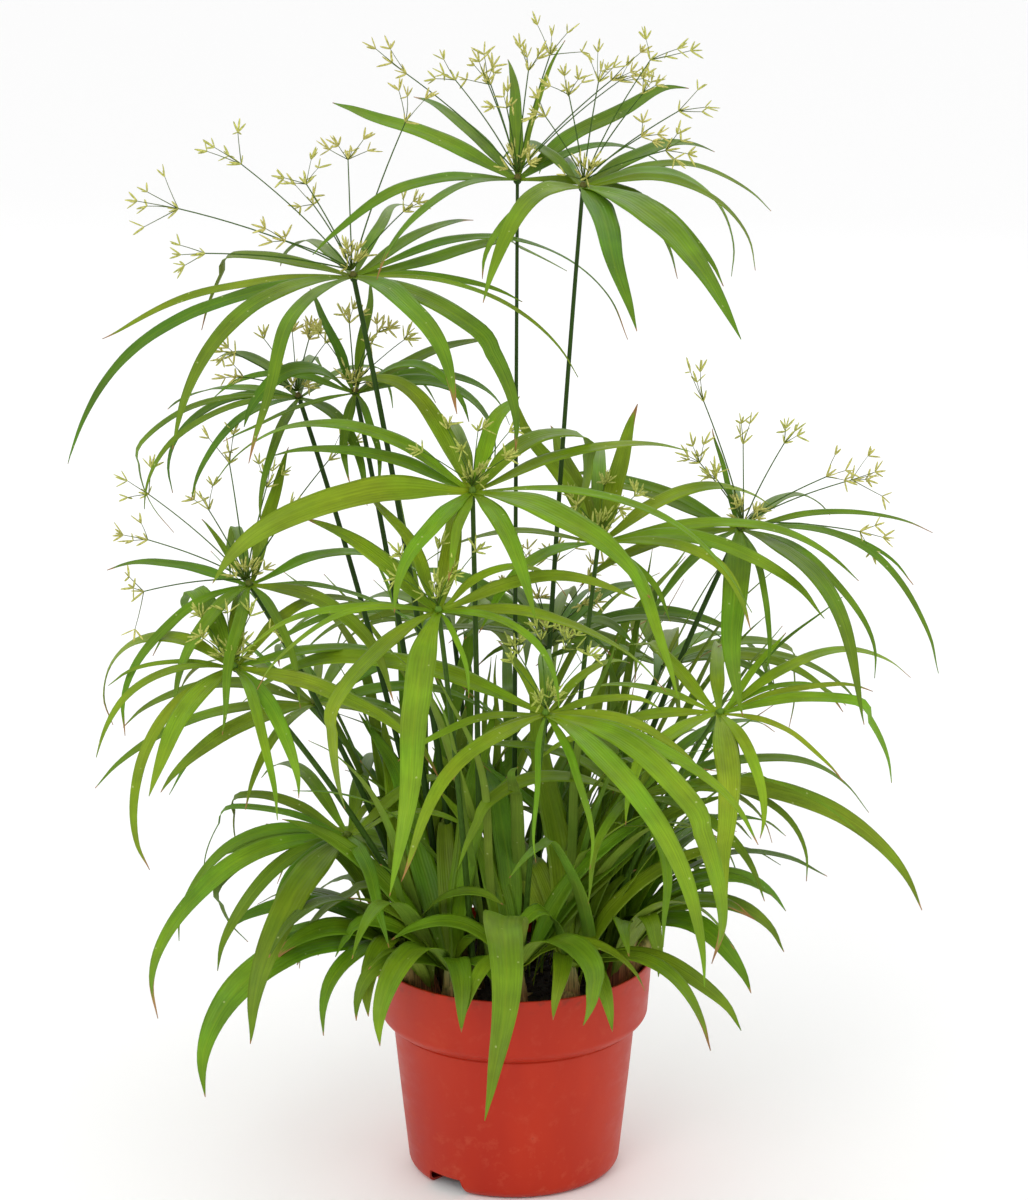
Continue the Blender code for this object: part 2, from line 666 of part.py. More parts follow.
def ray_rings(start, ray):
    """The cross-sections of one ray of an umbel, with the spikelet cluster as a spindle at its end."""
    azimuth, rise, length = ray
    points, tangents = leaf_path(start, azimuth, rise, RAY_BEND, length * MM, 0)
    neck = 1 - CLUSTER_LENGTH / (length * MM)
    widest = neck + CLUSTER_WIDEST * (1 - neck)
    sizes = [(RAY_FIRST_RING, RAY_WIDTH), (neck, RAY_WIDTH), (widest, CLUSTER_WIDTH)]
    rings = []
    for t, width in sizes:
        i = round(t * (len(points) - 1))
        rings.append(section(points[i], tangents[i], azimuth, 0, width, width * RAY_DEPTH))
    return rings, points[-1]


# ---------------------------------------------------------------- room for each leaf


class Placed:
    """What already stands in the plant, so that each new leaf can look for free room."""

    def __init__(self):
        self.trees = []

    def add(self, tree, low, high):
        self.trees.append((tree, low, high))

    def add_object(self, obj):
        graph = bpy.context.evaluated_depsgraph_get()
        evaluated = obj.evaluated_get(graph)
        mesh = evaluated.to_mesh()
        points = [obj.matrix_world @ vert.co for vert in mesh.vertices]
        faces = [tuple(face.vertices) for face in mesh.polygons]
        evaluated.to_mesh_clear()
        self.add_shape(points, faces)

    def add_shape(self, points, faces):
        low = Vector(min(point[axis] for point in points) for axis in range(3))
        high = Vector(max(point[axis] for point in points) for axis in range(3))
        self.add(BVHTree.FromPolygons(points, faces), low, high)

    def meets(self, points, faces):
        low = [min(point[axis] for point in points) for axis in range(3)]
        high = [max(point[axis] for point in points) for axis in range(3)]
        tree = None
        for other, other_low, other_high in self.trees:
            if any(low[axis] > other_high[axis] or high[axis] < other_low[axis] for axis in range(3)):
                continue
            tree = tree or BVHTree.FromPolygons(points, faces)
            if tree.overlap(other):
                return True
        return False


def grown(ring, beside, above):
    """A cross-section made larger on every side."""
    left, right, keel = ring
    side = (left - right).normalized()
    up = ((left + right) / 2 - keel).normalized()
    return (
        left + side * beside + up * above,
        right - side * beside + up * above,
        keel - side * beside - up * above,
        keel + side * beside - up * above,
    )


def tube(rings, tip, beside, above, skip=0):
    """Points and faces of the space around a leaf, from ring skip on."""
    points, faces = [], []
    for ring in rings[skip:]:
        points.extend(grown(ring, beside, above))
    points.append(tip)
    count = len(rings) - skip
    for k in range(count - 1):
        for i in range(4):
            j = (i + 1) % 4
            faces.append((4 * k + i, 4 * k + j, 4 * k + 4 + j, 4 * k + 4 + i))
    last = 4 * (count - 1)
    for i in range(4):
        faces.append((last + i, last + (i + 1) % 4, len(points) - 1))
    return points, faces


def offsets():
    """Small turns of a leaf, the smallest first: (azimuth, rise) in degrees."""
    steps = range(-TURN_STEPS, TURN_STEPS + 1)
    pairs = [(TURN_STEP * a, TURN_STEP * r) for a in steps for r in steps]
    return sorted(pairs, key=lambda pair: (pair[0] ** 2 + pair[1] ** 2, pair))


OFFSETS = offsets()


def find_room(placed, siblings, make_rings, beside, above):
    """The first turn at which a leaf is clear of everything else."""
    for azimuth, rise in OFFSETS:
        rings, tip = make_rings(azimuth, rise)
        if siblings.meets(*tube(rings, tip, SIBLING_ROOM_BESIDE, SIBLING_ROOM_ABOVE, skip=1)):
            continue
        if placed.meets(*tube(rings, tip, beside, above)):
            continue
        return rings, tip
    return make_rings(0, 0)


# ---------------------------------------------------------------- whorls


def hub_angles(directions, upright):
    """Azimuth of each direction in the hub's own frame."""
    return [math.atan2((upright @ way).y, (upright @ way).x) for way in directions]


def facet_bounds(angles):
    """Where the hub's edges go: halfway between neighbouring leaves, and none too close to the next."""
    count = len(angles)
    even = [angles[0] + 2 * math.pi * i / count for i in range(count)]
    shift = sum(angle - level for angle, level in zip(angles, even)) / count
    spread = [angle + FACET_EVENNESS * (level + shift - angle) for angle, level in zip(angles, even)]
    bounds = []
    for i in range(count):
        after = spread[(i + 1) % count] + (2 * math.pi if i == count - 1 else 0)
        bounds.append((spread[i] + after) / 2)
    return bounds


def whorl_hub(bm, count, bounds, levels):
    """A round hub with one upright facet for each leaf: a cone, and its top face raised level by level."""
    (low_radius, low), (radius, height) = levels[:2]
    made = bmesh.ops.create_cone(
        bm, cap_ends=True, cap_tris=False, segments=count, radius1=low_radius, radius2=radius, depth=height - low
    )
    corners = sorted(made["verts"], key=lambda vert: (vert.co.z > 0, math.atan2(vert.co.y, vert.co.x) % math.tau))
    for i, vert in enumerate(corners):
        angle = bounds[i % count]
        above = i >= count
        size = radius if above else low_radius
        vert.co = Vector((size * math.cos(angle), size * math.sin(angle), height if above else low))
    for radius, height in levels[2:]:
        top = max(bm.faces, key=lambda face: face.calc_center_median().z)
        raised = bmesh.ops.extrude_discrete_faces(bm, faces=[top])["faces"][0]
        for vert in raised.verts:
            angle = math.atan2(vert.co.y, vert.co.x)
            vert.co = Vector((radius * math.cos(angle), radius * math.sin(angle), height))
    bm.normal_update()
    top_level = levels[-1][1]
    below = levels[-2][1]
    facets = [
        face
        for face in bm.faces
        if len(face.verts) == 4 and abs(face.calc_center_median().z - (top_level + below) / 2) < 0.01 * MM
    ]
    return facets


def grow_leaf(bm, facet, rings, tip, to_hub):
    """Extrudes a facet of the hub along a leaf, cross-section by cross-section, to a pointed tip."""
    middle = facet.calc_center_median()
    outward = Vector((middle.x, middle.y, 0)).normalized()
    leftward = Vector((-outward.y, outward.x, 0))
    roles = []
    for vert in facet.verts:
        if vert.co.z < middle.z:
            roles.append(2)
        else:
            roles.append(0 if (vert.co - middle).dot(leftward) > 0 else 1)
    face = facet
    for ring in rings:
        face = bmesh.ops.extrude_discrete_faces(bm, faces=[face])["faces"][0]
        for vert, role in zip(face.verts, roles):
            vert.co = to_hub @ ring[role]
    face = bmesh.ops.extrude_discrete_faces(bm, faces=[face])["faces"][0]
    for vert in face.verts:
        vert.co = to_hub @ tip


def whorl(name, base, axis, levels, leaves, placed, collection, material):
    """One closed body: a hub on base, pointing along axis, with leaves growing from its facets.

    Each leaf is (direction, function that gives its cross-sections for a small turn, room beside, room above).
    """
    turn = Vector((0, 0, 1)).rotation_difference(axis).to_matrix().to_4x4()
    from_hub = Matrix.Translation(base) @ turn
    to_hub = from_hub.inverted()
    upright = turn.to_3x3().inverted()
    angles = hub_angles([leaf[0] for leaf in leaves], upright)
    order = sorted(range(len(leaves)), key=lambda i: angles[i] % math.tau)
    leaves = [leaves[i] for i in order]
    bounds = facet_bounds([angles[i] % math.tau for i in order])
    bm = bmesh.new()
    facets = whorl_hub(bm, len(leaves), bounds, levels)
    siblings = Placed()
    for i, (_, make_rings, beside, above) in enumerate(leaves):
        middle = (bounds[i - 1] - (math.tau if i == 0 else 0) + bounds[i]) / 2
        out = Vector((math.cos(middle), math.sin(middle), 0))
        facet = max((face for face in facets if face.is_valid), key=lambda face: face.calc_center_median().dot(out))
        facets.remove(facet)
        rings, tip = find_room(placed, siblings, make_rings, beside, above)
        siblings.add_shape(*tube(rings, tip, 0, 0, skip=1))
        grow_leaf(bm, facet, rings, tip, to_hub)
    bmesh.ops.remove_doubles(bm, verts=bm.verts, dist=0.000001)
    bmesh.ops.transform(bm, matrix=from_hub, verts=bm.verts)
    mesh = bpy.data.meshes.new(name)
    bm.to_mesh(mesh)
    bm.free()
    obj = new_object(name, mesh, collection, material)
    placed.add_shape([vert.co.copy() for vert in mesh.vertices], [tuple(face.vertices) for face in mesh.polygons])
    return obj


def direction(azimuth):
    turn = math.radians(azimuth)
    return Vector((math.cos(turn), math.sin(turn), 0))


def bract_leaf(middle, reach, bract, chance):
    """A leaf for whorl(), from the side of a hub whose radius is reach, with its own small sway and roll."""
    sway = chance.uniform(-BRACT_SWAY, BRACT_SWAY)
    roll = BRACT_FACING * math.cos(math.radians(bract[0])) + chance.uniform(-BRACT_ROLL, BRACT_ROLL)

    def make_rings(azimuth, rise):
        moved = (bract[0] + azimuth, bract[1] + rise, *bract[2:])
        return bract_rings(middle + direction(moved[0]) * reach, moved, sway, roll)

    return direction(bract[0]), make_rings, ROOM_BESIDE, ROOM_ABOVE


def ray_leaf(start, ray):
    def make_rings(azimuth, rise):
        return ray_rings(start, (ray[0] + azimuth, ray[1] + rise, ray[2]))

    return direction(ray[0]), make_rings, RAY_ROOM, RAY_ROOM


# ---------------------------------------------------------------- the plant's pieces


def make_culm(name, crown, collection, material):
    points = culm_line(crown)
    radius = crown["culm"] / 2 * MM
    curve = bpy.data.curves.new(name, "CURVE")
    curve.dimensions = "3D"
    curve.bevel_depth = 1
    curve.bevel_resolution = 1
    curve.use_fill_caps = True
    spline = curve.splines.new("POLY")
    spline.points.add(len(points) - 1)
    for i, (point, place) in enumerate(zip(spline.points, points)):
        point.co = (*place, 1)
        share = i / (len(points) - 1)
        point.radius = radius + CULM_FOOT_SWELL * (1 - share)
    return new_object(name, curve, collection, material)


def culm_end(crown):
    """Where the crown's hub starts, and which way it points."""
    points = culm_line(crown)
    axis = (points[-1] - points[-2]).normalized()
    return points[-1] + axis * GAP, axis


def make_bracts(name, crown, chance, placed, collection, material):
    base, axis = culm_end(crown)
    middle = base + axis * (HUB_HEIGHT / 2)
    levels = [(crown["culm"] / 2 * MM, 0), (HUB_TOP_RADIUS, HUB_HEIGHT)]
    leaves = [bract_leaf(middle, HUB_TOP_RADIUS, bract, chance) for bract in crown["bracts"]]
    return whorl(name, base, axis, levels, leaves, placed, collection, material)


def make_umbel(name, crown, placed, collection, material):
    base, axis = culm_end(crown)
    base = base + axis * (HUB_HEIGHT + GAP)
    start = base + axis * (0.6 * UMBEL_HUB_HEIGHT)
    levels = [(UMBEL_HUB_RADIUS, 0), (0.5 * UMBEL_HUB_RADIUS, UMBEL_HUB_HEIGHT)]
    leaves = [ray_leaf(start, ray) for ray in crown["rays"]]
    return whorl(name, base, axis, levels, leaves, placed, collection, material)


def make_shoot(name, shoot, chance, placed, collection, material):
    base = on_soil(shoot["foot"])
    height = shoot["sheath"] * MM
    middle = base + Vector((0, 0, height + HUB_HEIGHT / 2))
    levels = [(SHEATH_RADIUS, 0), (SHEATH_TOP_RADIUS, height), (SHEATH_TOP_RADIUS, height + HUB_HEIGHT)]
    leaves = [bract_leaf(middle, SHEATH_TOP_RADIUS, bract, chance) for bract in shoot["bracts"]]
    return whorl(name, base, Vector((0, 0, 1)), levels, leaves, placed, collection, material)


def main():
    clear_scene()
    parts = new_collection(OBJECT_NAME)
    cutters = new_collection("cutters")
    terracotta = new_material("terracotta_plastic", (0.46, 0.05, 0.025), 0.45)
    peat = new_material("peat_soil", (0.018, 0.012, 0.008), 0.95)
    culm_green = new_material("culm_green", (0.035, 0.10, 0.02), 0.45)
    leaf_green = new_material("leaf_green", (0.14, 0.33, 0.03), 0.5)
    young_green = new_material("young_leaf_green", (0.10, 0.28, 0.025), 0.5)
    straw = new_material("spikelet_straw", (0.50, 0.50, 0.16), 0.7)

    placed = Placed()
    placed.add_object(make_pot(parts, cutters, terracotta))
    placed.add_object(make_soil(parts, peat))
    for number, crown in CROWNS.items():
        placed.add_object(make_culm(f"culm_{number}", crown, parts, culm_green))
    chance = random.Random(7)
    for number, crown in CROWNS.items():
        make_bracts(f"bracts_{number}", crown, chance, placed, parts, leaf_green)
    for number, shoot in SHOOTS.items():
        make_shoot(f"young_shoot_{number}", shoot, chance, placed, parts, young_green)
    for number, crown in CROWNS.items():
        if crown["rays"]:
            make_umbel(f"umbel_{number}", crown, placed, parts, straw)


main()
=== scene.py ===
import math
import random

import bmesh
import bpy
import numpy as np
from mathutils import Matrix, Vector, noise


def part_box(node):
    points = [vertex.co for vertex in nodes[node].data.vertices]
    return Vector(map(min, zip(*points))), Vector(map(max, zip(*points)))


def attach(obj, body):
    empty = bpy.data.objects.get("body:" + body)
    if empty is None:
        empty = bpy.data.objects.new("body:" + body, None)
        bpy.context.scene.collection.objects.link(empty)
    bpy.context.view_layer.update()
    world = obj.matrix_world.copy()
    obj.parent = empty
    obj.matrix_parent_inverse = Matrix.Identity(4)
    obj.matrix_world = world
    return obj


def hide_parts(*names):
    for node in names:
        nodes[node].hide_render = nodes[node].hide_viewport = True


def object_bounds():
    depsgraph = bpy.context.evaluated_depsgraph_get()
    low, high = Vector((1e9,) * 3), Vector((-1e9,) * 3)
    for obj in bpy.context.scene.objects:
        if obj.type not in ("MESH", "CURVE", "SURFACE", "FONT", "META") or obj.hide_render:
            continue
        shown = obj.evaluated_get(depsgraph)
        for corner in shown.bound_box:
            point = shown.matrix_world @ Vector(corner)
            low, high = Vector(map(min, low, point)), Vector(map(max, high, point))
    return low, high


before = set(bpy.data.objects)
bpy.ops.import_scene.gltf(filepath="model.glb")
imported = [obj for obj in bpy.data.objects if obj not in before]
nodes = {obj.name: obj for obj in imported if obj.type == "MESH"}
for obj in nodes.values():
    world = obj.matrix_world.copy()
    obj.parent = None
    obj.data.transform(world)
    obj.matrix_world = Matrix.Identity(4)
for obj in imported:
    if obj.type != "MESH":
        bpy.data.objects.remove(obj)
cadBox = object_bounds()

mm = 0.001
bpy.context.scene.view_settings.view_transform = "Standard"


def namesOf(start):
    return sorted(name for name in nodes if name.startswith(start))


# materials: hex colours are sRGB, and patterns are sized from real millimetres


def colour(hexValue):
    parts = [int(hexValue[i:i + 2], 16) / 255 for i in (1, 3, 5)]
    return (*[p / 12.92 if p <= 0.04045 else ((p + 0.055) / 1.055) ** 2.4 for p in parts], 1)


def perMetre(millimetres):
    return 1 / (millimetres * mm)  # texture scale for a pattern of that size on Object coordinates


def addNode(tree, kind, inputs=None, stops=None, **settings):
    # adds one node: its settings, a ramp's stops, and its inputs, where a socket is linked and a value is set
    node = tree.nodes.new("ShaderNode" + kind)
    for name, value in settings.items():
        setattr(node, name, value)
    for i, (place, value) in enumerate(stops or []):
        element = node.color_ramp.elements[i] if i < 2 else node.color_ramp.elements.new(place)
        element.position = place
        element.color = colour(value) if isinstance(value, str) else value
    for name, value in (inputs or {}).items():
        if isinstance(value, bpy.types.NodeSocket):
            tree.links.new(value, node.inputs[name])
        else:
            node.inputs[name].default_value = value
    return node


inColour = {"data_type": "RGBA"}  # a Mix of colours: 0 is its factor, 6 and 7 its colours, and output 2 the result
tinted = {"data_type": "RGBA", "blend_type": "MULTIPLY"}


def startMaterial(name, **sockets):
    material = bpy.data.materials.new(name)
    material.use_nodes = True
    shader = material.node_tree.nodes["Principled BSDF"]
    for socket, value in sockets.items():
        shader.inputs[socket.replace("_", " ")].default_value = value
    return material, material.node_tree, addNode(material.node_tree, "TexCoord").outputs["Object"]


def finishSurface(material, base, height, strength, depth, rough=None):
    # links the colour, a relief that is depth millimetres deep, and the roughness where it varies
    tree = material.node_tree
    shader = tree.nodes["Principled BSDF"]
    tree.links.new(base, shader.inputs["Base Color"])
    if rough:
        tree.links.new(rough, shader.inputs["Roughness"])
    bump = addNode(tree, "Bump", {"Height": height, "Strength": strength, "Distance": depth * mm})
    tree.links.new(bump.outputs[0], shader.inputs["Normal"])
    return material


def readTone(tree):
    # what each vertex carries: lightness, dryness or brownness, freshness, and a number of its leaf's own
    tone = addNode(tree, "Attribute", attribute_name="leafTone")
    parts = addNode(tree, "SeparateColor", {"Color": tone.outputs["Color"]})
    return [*parts.outputs[:3], tone.outputs["Alpha"]]


leafFinish = {
    # living sedge leaf: a waxy skin gives a soft satin light, and parallel veins show as fine lengthwise lines
    "upper": {"dark": "#3a560c", "light": "#6f8d12", "fresh": "#97ad18", "dry": "#b58a4e", "roughness": 0.45},
    "under": {"dark": "#4b651c", "light": "#768f2e", "fresh": "#9bae38", "dry": "#a67a4a", "roughness": 0.6},
    "burnt": "#6d4421",
    "veins": 9,  # real veins are 0.7 mm apart, too fine to show, so they are drawn about 1.6 mm apart
    "speck": "#c9cf8e", "speckSpacing": 9,  # small pale specks, in mm
    "blotch": 26,  # cloudy lighter patches, in mm
    "olive": (1.13, 0.98, 1.05, 1), "vivid": (0.7, 1.03, 0.78, 1),  # two tints: each leaf has its own mix of them,
    "drift": 40,  # which drifts a little over this many mm
}


def makeLeafMaterial(name, side):
    look = {**leafFinish, **leafFinish[side]}
    material, tree, body = startMaterial(name, Roughness=look["roughness"], IOR=1.4, Specular_IOR_Level=0.28)
    light, dryness, fresh, seed = readTone(tree)
    leafMap = addNode(tree, "UVMap", uv_map="leafMap").outputs["UV"]
    across = addNode(tree, "SeparateXYZ", {"Vector": leafMap}).outputs["X"]
    green = addNode(tree, "Mix", {0: light, 6: colour(look["dark"]), 7: colour(look["light"])}, **inColour)
    green = addNode(tree, "Mix", {0: fresh, 6: green.outputs[2], 7: colour(look["fresh"])}, **inColour)
    driftMap = addNode(tree, "Mapping", {"Vector": body, "Location": (0.3, 0.7, 0.1)})
    drift = {"Vector": driftMap.outputs[0], "Scale": perMetre(look["drift"]), "Detail": 2}
    drift = addNode(tree, "TexNoise", drift)
    drifted = addNode(tree, "MapRange", {"Value": drift.outputs["Fac"], 1: 0.36, 2: 0.64, 3: 0.0, 4: 0.36})
    own = addNode(tree, "Math", {0: seed, 1: 0.64, 2: drifted.outputs[0]}, operation="MULTIPLY_ADD")
    tint = addNode(tree, "Mix", {0: own.outputs[0], 6: look["olive"], 7: look["vivid"]}, **inColour)
    green = addNode(tree, "Mix", {0: 1.0, 6: green.outputs[2], 7: tint.outputs[2]}, **tinted)
    cloud = addNode(tree, "TexNoise", {"Vector": body, "Scale": perMetre(look["blotch"]), "Detail": 3})
    cloudy = addNode(tree, "MapRange", {"Value": cloud.outputs["Fac"], 1: 0.3, 2: 0.7, 3: 0.78, 4: 1.2})
    streakMap = addNode(tree, "Mapping", {"Vector": leafMap, "Scale": (16, 0.9, 1)})
    streak = addNode(tree, "TexNoise", {"Vector": streakMap.outputs["Vector"], "Scale": 1.0, "Detail": 4})
    streaky = addNode(tree, "MapRange", {"Value": streak.outputs["Fac"], 1: 0.3, 2: 0.7, 3: 0.86, 4: 1.12})
    angle = addNode(tree, "Math", {0: across, 1: 2 * math.pi * look["veins"]}, operation="MULTIPLY")
    vein = addNode(tree, "Math", {0: angle.outputs[0]}, operation="COSINE")
    veined = addNode(tree, "MapRange", {"Value": vein.outputs[0], 1: -1, 2: 1, 3: 0.945, 4: 1.035})
    shade = addNode(tree, "Math", {0: cloudy.outputs[0], 1: streaky.outputs[0]}, operation="MULTIPLY").outputs[0]
    shade = addNode(tree, "Math", {0: shade, 1: veined.outputs[0]}, operation="MULTIPLY").outputs[0]
    grey = addNode(tree, "CombineColor", {0: shade, 1: shade, 2: shade})
    green = addNode(tree, "Mix", {0: 1.0, 6: green.outputs[2], 7: grey.outputs[0]}, **tinted)
    middle = addNode(tree, "Math", {0: across, 1: 0.5}, operation="SUBTRACT")
    middle = addNode(tree, "Math", {0: middle.outputs[0]}, operation="ABSOLUTE")
    rib = addNode(tree, "MapRange", {"Value": middle.outputs[0], 1: 0.01, 2: 0.05, 3: 0.14, 4: 0.0})
    green = addNode(tree, "Mix", {0: rib.outputs[0], 6: green.outputs[2], 7: colour(look["fresh"])}, **inColour)
    specks = addNode(tree, "TexVoronoi", {"Vector": body, "Scale": perMetre(look["speckSpacing"])})
    speck = addNode(tree, "MapRange", {"Value": specks.outputs["Distance"], 1: 0.05, 2: 0.09, 3: 0.35, 4: 0.0})
    green = addNode(tree, "Mix", {0: speck.outputs[0], 6: green.outputs[2], 7: colour(look["speck"])}, **inColour)
    ragged = addNode(tree, "Math", {0: dryness, 1: streak.outputs["Fac"]}, operation="ADD")
    dry = addNode(tree, "MapRange", {"Value": ragged.outputs[0], 1: 0.95, 2: 1.15, 3: 0.0, 4: 1.0})
    tip = {0: cloud.outputs["Fac"], 6: colour(look["dry"]), 7: colour(look["burnt"])}
    tip = addNode(tree, "Mix", tip, **inColour)
    surface = addNode(tree, "Mix", {0: dry.outputs[0], 6: green.outputs[2], 7: tip.outputs[2]}, **inColour)
    height = addNode(tree, "Math", {0: vein.outputs[0], 1: streak.outputs["Fac"]}, operation="ADD")
    return finishSurface(material, surface.outputs[2], height.outputs[0], 0.22, 0.25)


culmFinish = {"dark": "#263f0c", "light": "#64892a", "brown": "#8a5a3a", "ridge": 0.9}  # ridge spacing in mm


def makeCulmMaterial():
    # living stem: smooth dark wax with fine ridges along it, lighter where young
    look = culmFinish
    material, tree, body = startMaterial("waxyCulm", Roughness=0.5, IOR=1.4, Specular_IOR_Level=0.2)
    light, brown, _, _ = readTone(tree)
    fine = perMetre(look["ridge"])
    along = addNode(tree, "Mapping", {"Vector": body, "Scale": (fine, fine, 12)})
    ridge = addNode(tree, "TexNoise", {"Vector": along.outputs[0], "Scale": 1.0, "Detail": 3})
    green = addNode(tree, "Mix", {0: light, 6: colour(look["dark"]), 7: colour(look["light"])}, **inColour)
    shades = [(0.3, (0.75, 0.75, 0.75, 1)), (0.7, (1.2, 1.2, 1.2, 1))]
    shade = addNode(tree, "ValToRGB", {"Fac": ridge.outputs["Fac"]}, stops=shades)
    green = addNode(tree, "Mix", {0: 1.0, 6: green.outputs[2], 7: shade.outputs[0]}, **tinted)
    surface = addNode(tree, "Mix", {0: brown, 6: green.outputs[2], 7: colour(look["brown"])}, **inColour)
    return finishSurface(material, surface.outputs[2], ridge.outputs["Fac"], 0.3, 0.2)


sheathFinish = {
    "brown": [(0.35, "#5e2a1c"), (0.65, "#a8643f")], "green": [(0.35, "#4c6a24"), (0.65, "#8a9a52")],
    "stripe": 1.1,  # stripe spacing in mm
}


def makeSheathMaterial():
    # dried leaf sheath round a shoot's foot: papery, brown at the soil and striped pale green above
    look = sheathFinish
    material, tree, body = startMaterial("paperySheath", Roughness=0.62, IOR=1.4)
    brownness = readTone(tree)[1]
    fine = perMetre(look["stripe"])
    along = addNode(tree, "Mapping", {"Vector": body, "Scale": (fine, fine, 25)})
    stripe = addNode(tree, "TexNoise", {"Vector": along.outputs[0], "Scale": 1.0, "Detail": 3})
    brown = addNode(tree, "ValToRGB", {"Fac": stripe.outputs["Fac"]}, stops=look["brown"])
    green = addNode(tree, "ValToRGB", {"Fac": stripe.outputs["Fac"]}, stops=look["green"])
    surface = addNode(tree, "Mix", {0: brownness, 6: green.outputs[0], 7: brown.outputs[0]}, **inColour)
    return finishSurface(material, surface.outputs[2], stripe.outputs["Fac"], 0.4, 0.3)


spikeletFinish = {
    "ripe": [(0.3, "#93883a"), (0.7, "#d6cc7a")], "young": [(0.3, "#849a34"), (0.7, "#c4cc60")],
    "scale": 1.3,  # length of one scale in mm
}


def makeSpikeletMaterial():
    # ripe spikelets: overlapping dry scales, straw with a green cast
    look = spikeletFinish
    material, tree, body = startMaterial("strawScales", Roughness=0.58, IOR=1.4)
    youth = readTone(tree)[0]
    scale = addNode(tree, "TexNoise", {"Vector": body, "Scale": perMetre(look["scale"]), "Detail": 2})
    straw = addNode(tree, "ValToRGB", {"Fac": scale.outputs["Fac"]}, stops=look["ripe"])
    green = addNode(tree, "ValToRGB", {"Fac": scale.outputs["Fac"]}, stops=look["young"])
    surface = addNode(tree, "Mix", {0: youth, 6: straw.outputs[0], 7: green.outputs[0]}, **inColour)
    return finishSurface(material, surface.outputs[2], scale.outputs["Fac"], 0.4, 0.2)


potFinish = {
    "plastic": [(0.3, "#a12009"), (0.7, "#b22c0d")], "flow": 45,  # flow clouds from moulding, in mm
    "rubbed": "#c05c42", "rub": 9,  # pale rubbed marks, in mm
    "speck": "#8a2b1a", "speckSpacing": 14,
    "dirt": "#5c2c1c", "grime": 6, "dirtDepth": 9 * mm,  # soil dust just under the rim
    "skin": 1.6,  # fine unevenness of the moulded skin, in mm
}


def makePotMaterial():
    # injection-moulded polypropylene: even satin colour, slight flow clouds, rubbed marks and dust near the rim
    look, top = potFinish, potLook["height"]
    material, tree, body = startMaterial(
        "mouldedPolypropylene", Roughness=0.42, IOR=1.49, Specular_IOR_Level=0.26)
    flowMap = addNode(tree, "Mapping", {"Vector": body, "Scale": (1, 1, 0.35)})
    flow = addNode(tree, "TexNoise", {"Vector": flowMap.outputs[0], "Scale": perMetre(look["flow"]), "Detail": 3})
    base = addNode(tree, "ValToRGB", {"Fac": flow.outputs["Fac"]}, stops=look["plastic"])
    rubMap = addNode(tree, "Mapping", {"Vector": body, "Rotation": (0.5, 0.3, 0.4), "Scale": (1, 0.25, 1)})
    rub = {"Vector": rubMap.outputs[0], "Scale": perMetre(look["rub"]), "Detail": 6, "Roughness": 0.7}
    rub = addNode(tree, "TexNoise", rub)
    rubbed = addNode(tree, "MapRange", {"Value": rub.outputs["Fac"], 1: 0.54, 2: 0.82, 3: 0.0, 4: 0.6})
    height = addNode(tree, "SeparateXYZ", {"Vector": body}).outputs["Z"]
    lowDown = addNode(tree, "MapRange", {"Value": height, 1: 6 * mm, 2: 70 * mm, 3: 1.0, 4: 0.45})
    worn = addNode(tree, "Math", {0: rubbed.outputs[0], 1: lowDown.outputs[0]}, operation="MULTIPLY")
    plastic = {0: worn.outputs[0], 6: base.outputs[0], 7: colour(look["rubbed"])}
    plastic = addNode(tree, "Mix", plastic, **inColour)
    specks = addNode(tree, "TexVoronoi", {"Vector": body, "Scale": perMetre(look["speckSpacing"])})
    speck = addNode(tree, "MapRange", {"Value": specks.outputs["Distance"], 1: 0.03, 2: 0.06, 3: 0.5, 4: 0.0})
    plastic = {0: speck.outputs[0], 6: plastic.outputs[2], 7: colour(look["speck"])}
    plastic = addNode(tree, "Mix", plastic, **inColour)
    nearRim = addNode(tree, "MapRange", {"Value": height, 1: top - look["dirtDepth"], 2: top, 3: 0.0, 4: 0.6})
    grime = addNode(tree, "TexNoise", {"Vector": body, "Scale": perMetre(look["grime"]), "Detail": 5})
    dirty = addNode(tree, "MapRange", {"Value": grime.outputs["Fac"], 1: 0.52, 2: 0.68})
    dirt = addNode(tree, "Math", {0: nearRim.outputs[0], 1: dirty.outputs[0]}, operation="MULTIPLY")
    surface = addNode(tree, "Mix", {0: dirt.outputs[0], 6: plastic.outputs[2], 7: colour(look["dirt"])}, **inColour)
    rough = addNode(tree, "MapRange", {"Value": rub.outputs["Fac"], 1: 0.3, 2: 0.75, 3: 0.36, 4: 0.56})
    skin = addNode(tree, "TexNoise", {"Vector": body, "Scale": perMetre(look["skin"]), "Detail": 2})
    return finishSurface(material, surface.outputs[2], skin.outputs["Fac"], 0.06, 0.2, rough.outputs[0])


peatFinish = {"peat": [(0.35, "#120c08"), (0.6, "#33241a"), (0.75, "#5f452f")], "grain": 3, "bark": "#a08457"}


def makePeatMaterial():
    # damp peat: nearly black, rough and fibrous
    material, tree, body = startMaterial("dampPeat", Roughness=0.9, IOR=1.4)
    grain = {"Vector": body, "Scale": perMetre(peatFinish["grain"]), "Detail": 8, "Roughness": 0.7}
    grain = addNode(tree, "TexNoise", grain).outputs["Fac"]
    peat = addNode(tree, "ValToRGB", {"Fac": grain}, stops=peatFinish["peat"])
    return finishSurface(material, peat.outputs[0], grain, 0.8, 1.2)


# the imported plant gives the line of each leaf, ray and stem


def mergedCopy(name):
    bm = bmesh.new()
    bm.from_mesh(nodes[name].data)
    bmesh.ops.remove_doubles(bm, verts=bm.verts, dist=0.002 * mm)
    return bm


def nextRing(ring, seen):
    return {edge.other_vert(vert) for vert in ring for edge in vert.link_edges} - seen


